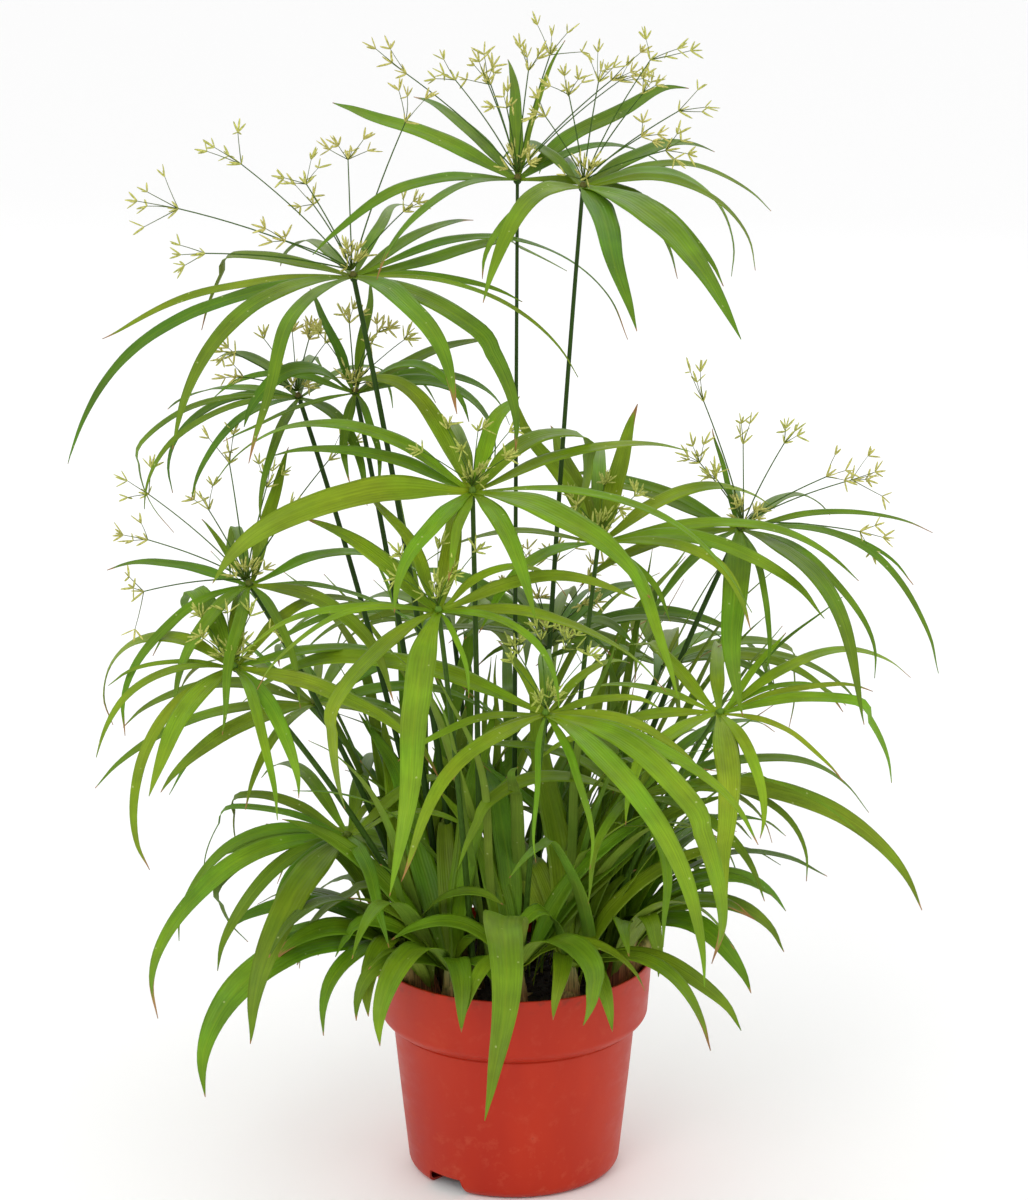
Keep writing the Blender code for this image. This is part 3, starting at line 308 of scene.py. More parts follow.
def leafRows(bm):
    # rows of x, y, z, width and upward normal for each leaf, from its foot to its tip
    leaves = []
    for tip in bm.verts:
        ring = nextRing({tip}, {tip})
        if len(ring) != 3:
            continue
        seen, rings = {tip}, []
        while len(ring) == 3:
            rings.append([vert.co.copy() for vert in ring])
            seen |= ring
            ring = nextRing(ring, seen)
        if len(rings) < 3:
            continue
        rows = []
        for corners in rings:
            sides = [(corners[i] - corners[i - 1]).length for i in range(3)]
            widest = max(range(3), key=lambda i: sides[i])
            keel = corners[(widest + 1) % 3]
            up = ((corners[widest] + corners[widest - 1]) / 2 - keel).normalized()
            rows.append([*(sum(corners, Vector()) / 3), sides[widest], *up])
        root = sum((vert.co for vert in ring), Vector()) / max(1, len(ring))
        first = rows[-1]
        rows.append([*root, 0.55 * first[3], *first[4:]])
        rows.reverse()
        rows.append([*tip.co, 0, *rows[-1][4:]])
        leaves.append(rows)
    middle = sum((Vector(rows[0][:3]) for rows in leaves), Vector()) / len(leaves)
    for rows in leaves:
        rows[0][:3] = middle.lerp(Vector(rows[0][:3]), 0.3)  # a leaf starts inside the hub
    leaves.sort(key=lambda rows: math.atan2(rows[-1][1] - middle.y, rows[-1][0] - middle.x))
    return leaves, middle


def smoothRows(rows, count):
    # the same rows, resampled evenly along a smooth line through them
    rows = np.array(rows, float)
    steps = np.linalg.norm(np.diff(rows[:, :3], axis=0), axis=1)
    places = np.concatenate([[0], np.cumsum(steps)])
    slopes = np.gradient(rows, places, axis=0)
    wanted = np.linspace(0, places[-1], count)
    k = np.clip(np.searchsorted(places, wanted, side="right") - 1, 0, len(places) - 2)
    span = (places[k + 1] - places[k])[:, None]
    t = (wanted - places[k])[:, None] / span
    start = (2 * t**3 - 3 * t**2 + 1) * rows[k] + (t**3 - 2 * t**2 + t) * span * slopes[k]
    return start + (3 * t**2 - 2 * t**3) * rows[k + 1] + (t**3 - t**2) * span * slopes[k + 1]


def culmRows(name):
    bm = mergedCopy(name)
    low = min(vert.co.z for vert in bm.verts)
    ring = {vert for vert in bm.verts if vert.co.z < low + 0.05 * mm}
    seen, rows = set(), []
    while ring:
        centre = sum((vert.co for vert in ring), Vector()) / len(ring)
        rows.append([*centre, max((vert.co - centre).length for vert in ring)])
        seen |= ring
        ring = nextRing(ring, seen)
    bm.free()
    return rows


def meshFrom(name, bm):
    mesh = bpy.data.meshes.new(name)
    bm.to_mesh(mesh)
    bm.free()
    return mesh


def linkNew(name, data):
    made = bpy.data.objects.new(name, data)
    bpy.context.scene.collection.objects.link(made)
    return made


def newPiece(name, bm, materials, slotName, *replaced):
    mesh = meshFrom(name, bm)
    piece = linkNew(name, mesh)
    for material in materials:
        mesh.materials.append(material)
    mesh.shade_smooth()
    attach(piece, "root")
    if replaced:
        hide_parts(*replaced)
    return piece


def addTo(whole, bm):
    # moves a small mesh into a larger one, which is far quicker than building it there
    mesh = meshFrom("part", bm)
    whole.from_mesh(mesh)
    bpy.data.meshes.remove(mesh)


def toneLayer(bm):
    layers = bm.verts.layers.float_color
    return layers.get("leafTone") or layers.new("leafTone")


def spinProfile(profile, segments):
    # a closed body turned round Z, from points of radius and height
    bm = bmesh.new()
    verts = [bm.verts.new((r, 0, z)) for r, z in profile]
    edges = [bm.edges.new(pair) for pair in zip(verts, verts[1:])]
    bmesh.ops.spin(bm, geom=verts + edges, cent=(0, 0, 0), axis=(0, 0, 1), angle=2 * math.pi,
                   steps=segments, use_merge=True)
    bmesh.ops.remove_doubles(bm, verts=bm.verts, dist=0.01 * mm)
    bmesh.ops.recalc_face_normals(bm, faces=bm.faces)
    return bm


def paint(bm, faces, tone):
    layer = toneLayer(bm)
    for vert in {vert for face in faces for vert in face.verts}:
        vert[layer] = (*tone, 1)


def growTube(bm, rows, sides, tone):
    # a round stem through rows of x, y, z and radius, closed at both ends
    layer = toneLayer(bm)
    points = [Vector(row[:3]) for row in rows]
    before = None
    made = bmesh.ops.create_circle(bm, cap_ends=True, segments=sides, radius=1)
    ring = made["verts"]
    edges = list({edge for vert in ring for edge in vert.link_edges})
    faces = list({face for vert in ring for face in vert.link_faces})
    turn = (points[1] - points[0]).to_track_quat("Z", "Y").to_matrix().to_4x4()
    for k, row in enumerate(rows):
        ahead = points[min(k + 1, len(points) - 1)] - points[max(k - 1, 0)]
        if ahead.length > 1e-9:
            swung = turn.to_3x3().col[2].rotation_difference(ahead.normalized()).to_matrix()
            turn = (swung @ turn.to_3x3()).to_4x4()
        here = Matrix.Translation(points[k]) @ turn @ Matrix.Scale(row[3], 4)
        if before is not None:
            made = bmesh.ops.extrude_edge_only(bm, edges=edges)["geom"]
            ring = [item for item in made if isinstance(item, bmesh.types.BMVert)]
            edges = [item for item in made if isinstance(item, bmesh.types.BMEdge)]
            edges = [edge for edge in edges if edge.verts[0] in ring and edge.verts[1] in ring]
            faces += [item for item in made if isinstance(item, bmesh.types.BMFace)]
            bmesh.ops.transform(bm, matrix=here @ before.inverted(), verts=ring)
        else:
            bmesh.ops.transform(bm, matrix=here, verts=ring)
        for vert in ring:
            vert[layer] = (*(tone(k / (len(rows) - 1)) if callable(tone) else tone), 1)
        before = here
    faces += bmesh.ops.contextual_create(bm, geom=edges)["faces"]
    bmesh.ops.recalc_face_normals(bm, faces=faces)


# how each crown's leaves look: lightness, freshness and how many of the tips have dried
crownTones = {
    "01": (0.42, 0.05, 0.35), "02": (0.46, 0.06, 0.45), "03": (0.50, 0.06, 0.50), "04": (0.34, 0.04, 0.30),
    "05": (0.34, 0.04, 0.30), "06": (0.68, 0.17, 0.10), "07": (0.50, 0.10, 0.35), "08": (0.66, 0.20, 0.10),
    "09": (0.70, 0.24, 0.15), "10": (0.50, 0.08, 0.50), "11": (0.80, 0.40, 0.40), "12": (0.75, 0.30, 0.15),
    "13": (0.66, 0.20, 0.15), "14": (0.32, 0.02, 0.20), "15": (0.48, 0.10, 0.30), "16": (0.56, 0.12, 0.30),
    "17": (0.50, 0.10, 0.30), "18": (0.40, 0.05, 0.30), "19": (0.45, 0.06, 0.30),
}

leafShape = {
    "step": 5 * mm,
    "across": (-1, -0.7, -0.36, 0, 0.36, 0.7, 1),
    "thickness": 0.35 * mm,
    "foldFoot": 0.5, "foldMiddle": 0.24, "foldTip": 0.34,  # rise of each half from the midrib, over its width
    "droop": 0.12,  # how much the margins curve back down
    "wave": 0.05,  # waviness of the margins, as a share of the width
    "waveLength": 45 * mm,
    "twist": 18, "strongTwist": 46,  # degrees, and degrees on a quarter of the leaves
    "swing": 0.035,  # how far a leaf's line swings sideways, as a share of its length
    "tipWidth": 0.3 * mm,
    "widths": (0.85, 1.08),  # against its solid
    "usualWidth": 16 * mm, "contrast": 0.5,  # leaves wider than this are wider still, and narrow ones narrower
    "opened": 0.3,  # share of its length at which it has its full width
    "pointed": 3.4,  # higher keeps its width nearer to the tip
    "kinked": 0.14, "kink": 48, "kinkFrom": 90 * mm,  # share with a fold across, its degrees, and the least length
    "lightness": 0.16, "freshness": 0.1,  # how far one leaf differs from its crown
}


def leafWidth(share, full):
    opened = min(1, share / leafShape["opened"])
    opened = 0.3 + 0.7 * opened * opened * (3 - 2 * opened)
    return max(leafShape["tipWidth"], full * opened * (1 - share ** leafShape["pointed"]))


def kinkLine(line, chance):
    # folds the outer part of a leaf down, as where a long leaf has given way
    at = round(len(line) * chance.uniform(0.5, 0.72))
    pivot, ahead = Vector(line[at, :3]), Vector(line[at + 1, :3] - line[at - 1, :3]).normalized()
    side = ahead.cross(Vector(line[at, 4:7])).normalized()
    angle = -math.radians(chance.uniform(0.5, 1) * leafShape["kink"])
    for k in range(at, len(line)):
        turn = Matrix.Rotation(angle * min(1, (k - at) / 3), 3, side)
        line[k, :3] = pivot + turn @ (Vector(line[k, :3]) - pivot)
        line[k, 4:7] = turn @ Vector(line[k, 4:7])


def addLeaf(bm, rows, tone, chance, wider=1.0, brownFoot=0):
    # one blade on a grid: rows give its line, tone its colours, and brownFoot the share of it that is brown
    shape = leafShape
    length = np.linalg.norm(np.diff(np.array(rows)[:, :3], axis=0), axis=1).sum()
    count = max(12, round(length / shape["step"]))
    line = smoothRows(rows, count + 1)
    full = line[:, 3].max() * wider * chance.uniform(*shape["widths"])
    full *= (full / shape["usualWidth"]) ** shape["contrast"]
    if length > shape["kinkFrom"] and chance.random() < shape["kinked"]:
        kinkLine(line, chance)
    columns = len(shape["across"]) - 1
    layer = toneLayer(bm)
    uvLayer = bm.loops.layers.uv.get("leafMap") or bm.loops.layers.uv.new("leafMap")
    made = bmesh.ops.create_grid(bm, x_segments=columns, y_segments=count, size=0.5)["verts"]
    seed = chance.uniform(0, 1000)
    twist = math.radians(chance.uniform(-1, 1) * shape["strongTwist" if chance.random() < 0.25 else "twist"])
    lightness = min(1, max(0, tone[0] + chance.uniform(-1, 1) * shape["lightness"]))
    fresh = min(1, max(0, tone[1] + chance.uniform(-1, 1) * shape["freshness"]))
    dried = chance.uniform(0.03, 0.16) if chance.random() < tone[2] else chance.uniform(0.0, 0.02)
    places = {}
    for vert in made:
        i, k = round((vert.co.x + 0.5) * columns), round((vert.co.y + 0.5) * count)
        places[vert] = (i, k)
        share = k / count
        centre, up = Vector(line[k, :3]), Vector(line[k, 4:7])
        ahead = Vector(line[min(k + 1, count), :3] - line[max(k - 1, 0), :3]).normalized()
        roll = twist * share**1.5 + 0.14 * noise.noise(Vector((seed, share * 3, 0)))
        up = (up - ahead * up.dot(ahead)).normalized()
        up = Matrix.Rotation(roll, 3, ahead) @ up
        side = ahead.cross(up)
        swing = shape["swing"] * length * noise.noise(Vector((seed, share * 2.2, 7))) * share
        centre += side * (2 * swing)
        width = leafWidth(share, full)
        u = shape["across"][i]
        fold = shape["foldMiddle"]
        fold += (shape["foldFoot"] - fold) * max(0, 1 - share / 0.22) + (shape["foldTip"] - fold) * share**3
        wave = shape["wave"] * noise.noise(Vector((seed + 5 * u, share * length / shape["waveLength"] * 2, 3)))
        rise = width / 2 * (fold * abs(u) - shape["droop"] * u * u) + width * wave * u * u
        narrowed = 1 - 0.35 * fold * abs(u)
        vert.co = centre + side * (u * width / 2 * narrowed) + up * rise
        edge = 0.35 * abs(u) ** 4 * dried / 0.1
        dryness = max(0, min(1, (share - 1 + dried) / max(dried, 0.01) + (edge if share > 0.8 else 0)))
        if share < brownFoot:
            dryness = max(dryness, 0.75 * (1 - share / brownFoot))
        paler = 0.28 * max(0, 1 - share / 0.14)
        vert[layer] = (min(1, lightness + 0.1 * math.sin(share * 3)), dryness, min(1, fresh + paler), seed % 1)
    for face in {face for vert in made for face in vert.link_faces}:
        for loop in face.loops:
            i, k = places[loop.vert]
            loop[uvLayer].uv = ((shape["across"][i] + 1) / 2, k / count * length / (20 * mm))


def thicken(piece):
    # gives blades their thickness, after their tips are kept inside the size of the solids
    low, high = cadBox
    thickness = leafShape["thickness"]
    for vert in piece.data.vertices:
        vert.co = [min(max(vert.co[i], low[i] + thickness), high[i] - thickness) for i in range(3)]
    solid = piece.modifiers.new("Blade", "SOLIDIFY")
    solid.thickness = thickness
    solid.offset = -1
    solid.material_offset = 1
    solid.use_even_offset = False


betweenLook = {
    "share": (0.3, 0.7), "size": (0.5, 0.85), "width": (0.62, 0.9), "lift": (-0.14, 0.16),
    "darker": 0.1, "fresh": 0.7,
}


def betweenLeaves(leaves, middle, count, tipsAbove, chance):
    # smaller leaves that grow between two neighbours of the whorl, where their tips are high enough
    look = betweenLook
    added = []
    tips = [leaf[-1][2] for leaf in leaves]
    pairs = [i for i in range(len(leaves)) if (tips[i] + tips[i - 1]) / 2 > middle.z + tipsAbove]
    for i in range(count):
        at = pairs[(i * 3 + chance.randrange(2)) % len(pairs)]
        first, second = smoothRows(leaves[at - 1], 9), smoothRows(leaves[at], 9)
        share, size = chance.uniform(*look["share"]), chance.uniform(*look["size"])
        rows = first * (1 - share) + second * share
        centre = np.array(middle)
        rows[:, :3] = centre + (rows[:, :3] - centre) * size
        rows[:, 3] *= chance.uniform(*look["width"])
        reach = np.linalg.norm(rows[-1, :3] - centre)
        lift = chance.uniform(*look["lift"]) * reach
        for k, row in enumerate(rows):
            row[2] += lift * (k / 8) ** 1.5
            row[4:7] /= max(1e-6, np.linalg.norm(row[4:7]))
        added.append(rows.tolist())
    return added


def makeWhorl(node, piece, look, slotName, materials, chance):
    # one whorl round the solid's own leaves: look gives tone, wider, between and tipsAbove
    source = mergedCopy(node)
    leaves, middle = leafRows(source)
    source.free()
    bm = bmesh.new()
    tone = look["tone"]
    for rows in leaves:
        addLeaf(bm, rows, tone, chance, look["wider"])
    smaller = (tone[0] - betweenLook["darker"], tone[1] * betweenLook["fresh"], tone[2])
    for rows in betweenLeaves(leaves, middle, look["between"], look["tipsAbove"], chance):
        addLeaf(bm, rows, smaller, chance, look["wider"])
    thicken(newPiece(piece, bm, materials, slotName, node))
    return middle


crownLook = {
    "openAbove": 0.36,  # metres: crowns that reach above this have no small leaves between the large ones
    "between": 3,  # small leaves in each of the others
    "grown": 0.11, "grownWidth": 0.92,  # crowns less fresh than this are narrower than their solid by this much
}


def makeCrowns(materials):
    for node in namesOf("bracts_"):
        number = node[-2:]
        tone = crownTones[number]
        look = {
            "tone": tone,
            "wider": crownLook["grownWidth"] if tone[1] < crownLook["grown"] else 1.0,
            "between": 0 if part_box(node)[1].z > crownLook["openAbove"] else crownLook["between"],
            "tipsAbove": -math.inf,
        }
        makeWhorl(node, "crownLeaves" + number, look, "leaf_green", materials, random.Random(int(number)))


shootLook = {"tone": (0.6, 0.08, 0.4), "wider": 1.4, "between": 4, "tipsAbove": 30 * mm}


def makeShoots(leafMaterials, sheathMaterial):
    for node in namesOf("young_shoot_"):
        number = node[-2:]
        chance = random.Random(50 + int(number))
        middle = makeWhorl(node, "shootLeaves" + number, shootLook, "young_leaf_green", leafMaterials, chance)
        makeSheath(number, middle, [sheathMaterial], chance)


sheathLook = {
    "sheaths": 4, "radius": 8 * mm, "thinner": 0.9 * mm,  # each inner one is thinner by this much
    "reach": 0.55, "further": 0.2,  # share of the shoot's height, and how much further each inner one goes
    "lean": 0.8 * mm, "taper": 0.3, "tip": 0.82,
    "steps": 6, "sides": 14,
}


def footAt(x, y):
    # where a leaf or a sheath starts, just under the soil's surface
    return Vector((x, y, soilLook["top"] - soilLook["mound"] - soilLook["footDepth"]))


def brownness(top, share, fade=1.0):
    return (0, max(0, min(1, top - share * fade)), 0)


def makeSheath(number, middle, materials, chance):
    look, steps = sheathLook, sheathLook["steps"]
    foot = footAt(middle.x, middle.y)
    height = middle.z - foot.z
    bm = bmesh.new()
    for i in range(look["sheaths"]):
        reach = height * (look["reach"] + look["further"] * i)
        lean = Vector((chance.uniform(-1, 1), chance.uniform(-1, 1), 0)) * look["lean"]
        rows = []
        for k in range(steps + 1):
            t = k / steps
            radius = (look["radius"] - look["thinner"] * i) * (1 - look["taper"] * t)
            radius *= look["tip"] if k == steps else 1
            rows.append([*(foot + lean * t + Vector((0, 0, reach * t))), radius])
        growTube(bm, rows, look["sides"], lambda share, i=i: brownness(1.5 - 0.12 * i, share, 0.95))
    newPiece("shootSheath" + number, bm, materials, "young_leaf_green")


# upright leaves that fill the middle of the plant, from shoots whose stems haven't grown yet
innerLook = {
    "count": 84,
    "reach": 0.8,  # share of the soil's radius
    "front": -36 * mm,  # none grow nearer to the front than this
    "rise": (62, 87), "bend": (12, 80),  # degrees
    "length": (110 * mm, 310 * mm), "width": (7 * mm, 13 * mm),
    "tone": (0.6, 0.05, 0.3), "brownFoot": 0.12,
}

# shoots at the rim: each leans out as a fan of broad leaves with red-brown feet
fanLook = {
    "azimuths": (188, 214, 344, 20, 128),  # degrees
    "lightness": (0.34, 0.62, 0.56, 0.3, 0.45),
    "reach": 0.76,  # share of the soil's radius
    "leaves": 5, "spread": 44,  # degrees to either side
    "rise": (58, 82), "bend": (95, 150),  # degrees
    "length": (90 * mm, 190 * mm), "width": (15 * mm, 20 * mm),
    "freshness": 0.04, "driedTips": 0.35, "brownFoot": 0.3,
    "sheaths": 3, "sheath": 52 * mm, "sheathRadius": 8.5 * mm, "sheathLean": 24,  # degrees from upright
}


def leafFromSoil(foot, azimuth, look, chance):
    rise, bend = math.radians(chance.uniform(*look["rise"])), math.radians(chance.uniform(*look["bend"]))
    length, width = chance.uniform(*look["length"]), chance.uniform(*look["width"])
    out = Vector((math.cos(azimuth), math.sin(azimuth), 0))
    place, rows, steps = foot.copy(), [], 8
    for k in range(steps + 1):
        slope = rise - bend * (k / steps) ** 1.6
        rows.append([*place, width, *(Vector((0, 0, math.cos(slope))) - out * math.sin(slope))])
        place += (out * math.cos(slope) + Vector((0, 0, math.sin(slope)))) * (length / steps)
    return rows


def makeInnerLeaves(materials):
    chance = random.Random(31)
    look = innerLook
    radius = soilLook["radius"] * look["reach"]
    bm = bmesh.new()
    made = 0
    while made < look["count"]:
        turn, out = chance.uniform(0, 2 * math.pi), radius * math.sqrt(chance.random())
        foot = footAt(out * math.cos(turn), out * math.sin(turn))
        if foot.y < look["front"]:
            continue
        azimuth = math.atan2(foot.y, foot.x) + chance.uniform(-1.5, 1.5)
        addLeaf(bm, leafFromSoil(foot, azimuth, look, chance), look["tone"], chance, brownFoot=look["brownFoot"])
        made += 1
    thicken(newPiece("innerLeaves", bm, materials, "young_leaf_green"))


def fanFoot(middle):
    radius = soilLook["radius"] * fanLook["reach"]
    return footAt(radius * math.cos(middle), radius * math.sin(middle))


def makeFans(materials):
    look = fanLook
    chance = random.Random(47)
    bm = bmesh.new()
    for azimuth, lightness in zip(look["azimuths"], look["lightness"]):
        middle = math.radians(azimuth)
        foot = fanFoot(middle)
        for i in range(look["leaves"]):
            turn = math.radians(look["spread"]) * (2 * i / (look["leaves"] - 1) - 1) + chance.uniform(-0.15, 0.15)
            aside = Vector((-math.sin(middle), math.cos(middle), 0)) * (turn * 4 * mm)
            rows = leafFromSoil(foot + aside, middle + turn, look, chance)
            tone = (lightness, look["freshness"], look["driedTips"])
            addLeaf(bm, rows, tone, chance, brownFoot=look["brownFoot"])
    thicken(newPiece("rimLeaves", bm, materials, "young_leaf_green"))


def makeFanSheaths(materials):
    # red-brown sheaths that hold the feet of each fan and lean out with it
    look = fanLook
    chance = random.Random(59)
    bm = bmesh.new()
    for azimuth in look["azimuths"]:
        middle = math.radians(azimuth)
        foot = fanFoot(middle)
        for i in range(look["sheaths"]):
            lean = math.radians(look["sheathLean"] * (0.5 + 0.4 * i) + chance.uniform(-3, 3))
            turn = middle + chance.uniform(-0.35, 0.35)
            way = Vector((math.cos(turn) * math.sin(lean), math.sin(turn) * math.sin(lean), math.cos(lean)))
            reach, radius = look["sheath"] * (0.7 + 0.15 * i), look["sheathRadius"] * (1 - 0.14 * i)
            rows = [[*(foot + way * (reach * k / 7)), radius * (1 - 0.7 * (k / 7) ** 3)] for k in range(8)]
            growTube(bm, rows, sheathLook["sides"], lambda share, i=i: brownness(1.45 - 0.15 * i, share))
    newPiece("rimSheaths", bm, materials, "young_leaf_green")


stemShape = {
    "rings": 40, "sides": 12,
    "hub": ((1.5, 2.3), (3, 2.5), (4.5, 2.1), (6.5, 1.2)),  # rise and radius of the swelling at the top, in mm
    "brownFoot": 0.1, "brownHub": 0.955,  # shares of the stem's length
}


def stemTone(share, light, young):
    # lightness and brownness along a stem: brown where old sheaths were at its foot, and at the tight hub
    foot = max(0, 0.5 * (1 - share / stemShape["brownFoot"]))
    if share < stemShape["brownHub"]:
        return (light * (0.5 + 0.5 * share), foot, 0)
    return (min(1, light + 2 * young), max(0, 0.4 - young), 0)


def makeCulms(materials):
    for name in namesOf("culm_"):
        number = name[-2:]
        rows = culmRows(name)
        line = smoothRows(rows, stemShape["rings"]).tolist()
        end, ahead = Vector(line[-1][:3]), Vector(line[-1][:3]) - Vector(line[-2][:3])
        for rise, radius in stemShape["hub"]:
            line.append([*(end + ahead.normalized() * (rise * mm)), radius * mm])
        tone = crownTones[number]
        light = max(0, tone[1] * 1.4 - 0.05)
        bm = bmesh.new()
        growTube(bm, line, stemShape["sides"], lambda share: stemTone(share, light, tone[1] * 2))
        newPiece("stem" + number, bm, materials, "culm_green", name)


umbelShape = {
    "rayRadius": 0.42 * mm, "twigRadius": 0.26 * mm,
    "spikelet": (8.4 * mm, 0.75 * mm, 0.45 * mm),  # length, half width and half thickness
    "star": 4, "firstLean": (8, 24), "otherLean": (24, 66),  # spikelets at a ray's end, and their degrees from it
    "longRay": 44 * mm,  # rays longer than this end in more and longer twigs
    "longTwigs": (3, 5), "longLean": (12, 62), "shortTwigs": (1, 2), "shortLean": (25, 60), "shortTwig": 4 * mm,
    "crowded": 12, "crowdedLength": (4, 15),  # short rays in the middle of the head, in mm
    "nextTurn": 2.4,  # radians from one twig or spikelet to the next
}


def addSpikelet(bm, foot, way, tone, chance):
    length, half, thin = umbelShape["spikelet"]
    length *= chance.uniform(0.75, 1.25)
    turn = way.to_track_quat("Z", "Y").to_matrix().to_4x4() @ Matrix.Rotation(chance.uniform(0, 6.28), 4, "Z")
    size = Matrix.Diagonal((half, thin, length / 2, 1))
    place = Matrix.Translation(foot + way * (length * 0.46)) @ turn @ size
    made = bmesh.ops.create_uvsphere(bm, u_segments=6, v_segments=5, radius=1, matrix=place)["verts"]
    faces = {face for vert in made for face in vert.link_faces}
    for face in faces:
        face.material_index = 1
    paint(bm, faces, tone)


def spread(way, angle, turn):
    # a direction that leaves way by angle, at a turn about it
    side = way.orthogonal().normalized()
    return Matrix.Rotation(turn, 3, way) @ (Matrix.Rotation(angle, 3, side) @ way)


def addStar(bm, place, way, count, tone, chance):
    for i in range(count):
        angle = math.radians(chance.uniform(*umbelShape["firstLean" if i == 0 else "otherLean"]))
        out = spread(way, angle, umbelShape["nextTurn"] * i + chance.uniform(-0.4, 0.4))
        addSpikelet(bm, place, out, tone, chance)


def addTwig(bm, foot, way, length, tone, chance, stars):
    bow = Vector((chance.uniform(-1, 1), chance.uniform(-1, 1), chance.uniform(-0.6, 0.2))) * (0.12 * length)
    rows = []
    for k in range(4):
        t = k / 3
        rows.append([*(foot + way * (length * t) + bow * (t * t)), umbelShape["twigRadius"] * (1.2 - 0.4 * t)])
    growTube(bm, rows, 4, (0.35, 0.1, 0))
    end = Vector(rows[-1][:3])
    addStar(bm, end, (end - Vector(rows[-2][:3])).normalized(), stars, tone, chance)


def fitHead(head, middle):
    # shrinks a head about its middle until it is inside the size of the solids
    low, high = cadBox
    share = 1
    for vert in head.verts:
        for i in range(3):
            reach = vert.co[i] - middle[i]
            room = (high if reach > 0 else low)[i] - middle[i]
            if abs(reach) > abs(room):
                share = min(share, room / reach)
    bmesh.ops.scale(head, vec=(share, share, share), space=Matrix.Translation(-middle), verts=head.verts)


def makeUmbels(materials):
    shape = umbelShape
    for name in namesOf("umbel_"):
        number = name[-2:]
        chance = random.Random(100 + int(number))
        source = mergedCopy(name)
        rays, middle = leafRows(source)
        source.free()
        fresh = min(1, crownTones[number][1] * 3)
        head = bmesh.new()
        for rows in rays:
            bm = bmesh.new()
            line = smoothRows(rows, 14)
            length = np.linalg.norm(np.diff(line[:, :3], axis=0), axis=1).sum()
            long = length > shape["longRay"]
            kept = line[: 11 if long else 13]
            radius = shape["rayRadius"] * (1 if long else 0.8)
            tube = [[*row[:3], radius * (1.15 - 0.35 * k / 13)] for k, row in enumerate(kept)]
            growTube(bm, tube, 6, (0.15 + 0.5 * fresh, 0, 0))
            end, way = Vector(kept[-1][:3]), Vector(kept[-1][:3] - kept[-3][:3]).normalized()
            tone = (min(1, fresh + chance.uniform(0, 0.35)), 0, 0)
            addStar(bm, end, way, shape["star"], tone, chance)
            reach = shape["shortTwig"]
            if long:
                reach = length - np.linalg.norm(np.diff(kept[:, :3], axis=0), axis=1).sum()
            for i in range(chance.randint(*shape["longTwigs" if long else "shortTwigs"])):
                lean = math.radians(chance.uniform(*shape["longLean" if long else "shortLean"]))
                twigWay = spread(way, lean, shape["nextTurn"] * i + chance.uniform(-0.5, 0.5))
                addTwig(bm, end, twigWay, reach * chance.uniform(0.45, 1.0), tone, chance, chance.randint(3, 5))
            addTo(head, bm)
        # spikelets crowded in the middle of the head, and short rays that stay hidden between the leaves
        for i in range(shape["crowded"]):
            bm = bmesh.new()
            out = spread(Vector((0, 0, 1)), math.radians(chance.uniform(10, 70)), shape["nextTurn"] * i)
            tone = (min(1, fresh + 0.2), 0, 0)
            length = chance.uniform(*shape["crowdedLength"]) * mm
            addTwig(bm, middle, out, length, tone, chance, chance.randint(2, 4))
            addTo(head, bm)
        fitHead(head, middle)
        newPiece("flowerHead" + number, head, materials, "spikelet_straw", name)


potLook = {
    "segments": 144,
    "height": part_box("pot")[1].z,
    "rimRadius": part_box("pot")[1].x,
    "collarHeight": 34 * mm, "collarTaper": 2.5 * mm,
    "shoulderHeight": 9 * mm, "shoulderRun": 8 * mm,
    "bodyTaper": 9 * mm, "cornerRadius": 8 * mm,
    "wall": 1.6 * mm, "lip": 0.7 * mm,
    "footRing": 7 * mm, "centrePad": 20 * mm, "channelRise": 4 * mm,
    "crease": 0.7 * mm,
    "notch": {"width": 34 * mm, "height": 10 * mm, "slope": 5 * mm, "azimuths": (229, 49)},
    "slot": {"width": 3 * mm, "height": 6.5 * mm, "drop": 4 * mm, "azimuths": (186, 6)},
}


def arcPoints(centre, radius, start, end, steps):
    angles = [math.radians(start + (end - start) * i / steps) for i in range(steps + 1)]
    return [(centre[0] + radius * math.cos(a), centre[1] + radius * math.sin(a)) for a in angles]


def potWall(inset):
    look = potLook
    collarFoot = look["rimRadius"] - look["collarTaper"]
    bodyTop = collarFoot - look["shoulderRun"]
    footRadius = bodyTop - look["bodyTaper"]
    collarZ = look["height"] - look["collarHeight"]
    creaseZ = collarZ - look["shoulderHeight"]
    points = [(look["rimRadius"] - look["collarTaper"] * 0.12 - inset, look["height"] - 4 * mm)]
    for i in range(9):  # the shoulder curves in like a quarter of an ellipse
        t = i / 8
        bulge = math.cos(t * math.pi / 2)
        points.append((bodyTop + look["shoulderRun"] * bulge**0.75 - inset, collarZ - look["shoulderHeight"] * t))
    if inset == 0:
        points += [(bodyTop - look["crease"], creaseZ - 0.35 * mm), (bodyTop - 0.1 * mm, creaseZ - 1.2 * mm)]
    for i in range(1, 7):
        t = i / 6
        z = creaseZ + (look["cornerRadius"] - creaseZ) * t
        points.append((bodyTop - look["bodyTaper"] * t**1.06 - inset, z))
    corner = (footRadius - look["cornerRadius"], look["cornerRadius"])
    return points + arcPoints(corner, look["cornerRadius"] - inset, 0, -90, 8)[1:]


def potFloor(rise, wider):
    look = potLook
    ring = (look["rimRadius"] - look["collarTaper"] - look["shoulderRun"] - look["bodyTaper"]
            - look["cornerRadius"] - look["footRing"])
    pad, channel = look["centrePad"] - wider, look["channelRise"] + rise
    return [(ring + wider, rise), (ring - 1 * mm + wider, channel), (pad + 1 * mm, channel), (pad, rise), (0, rise)]


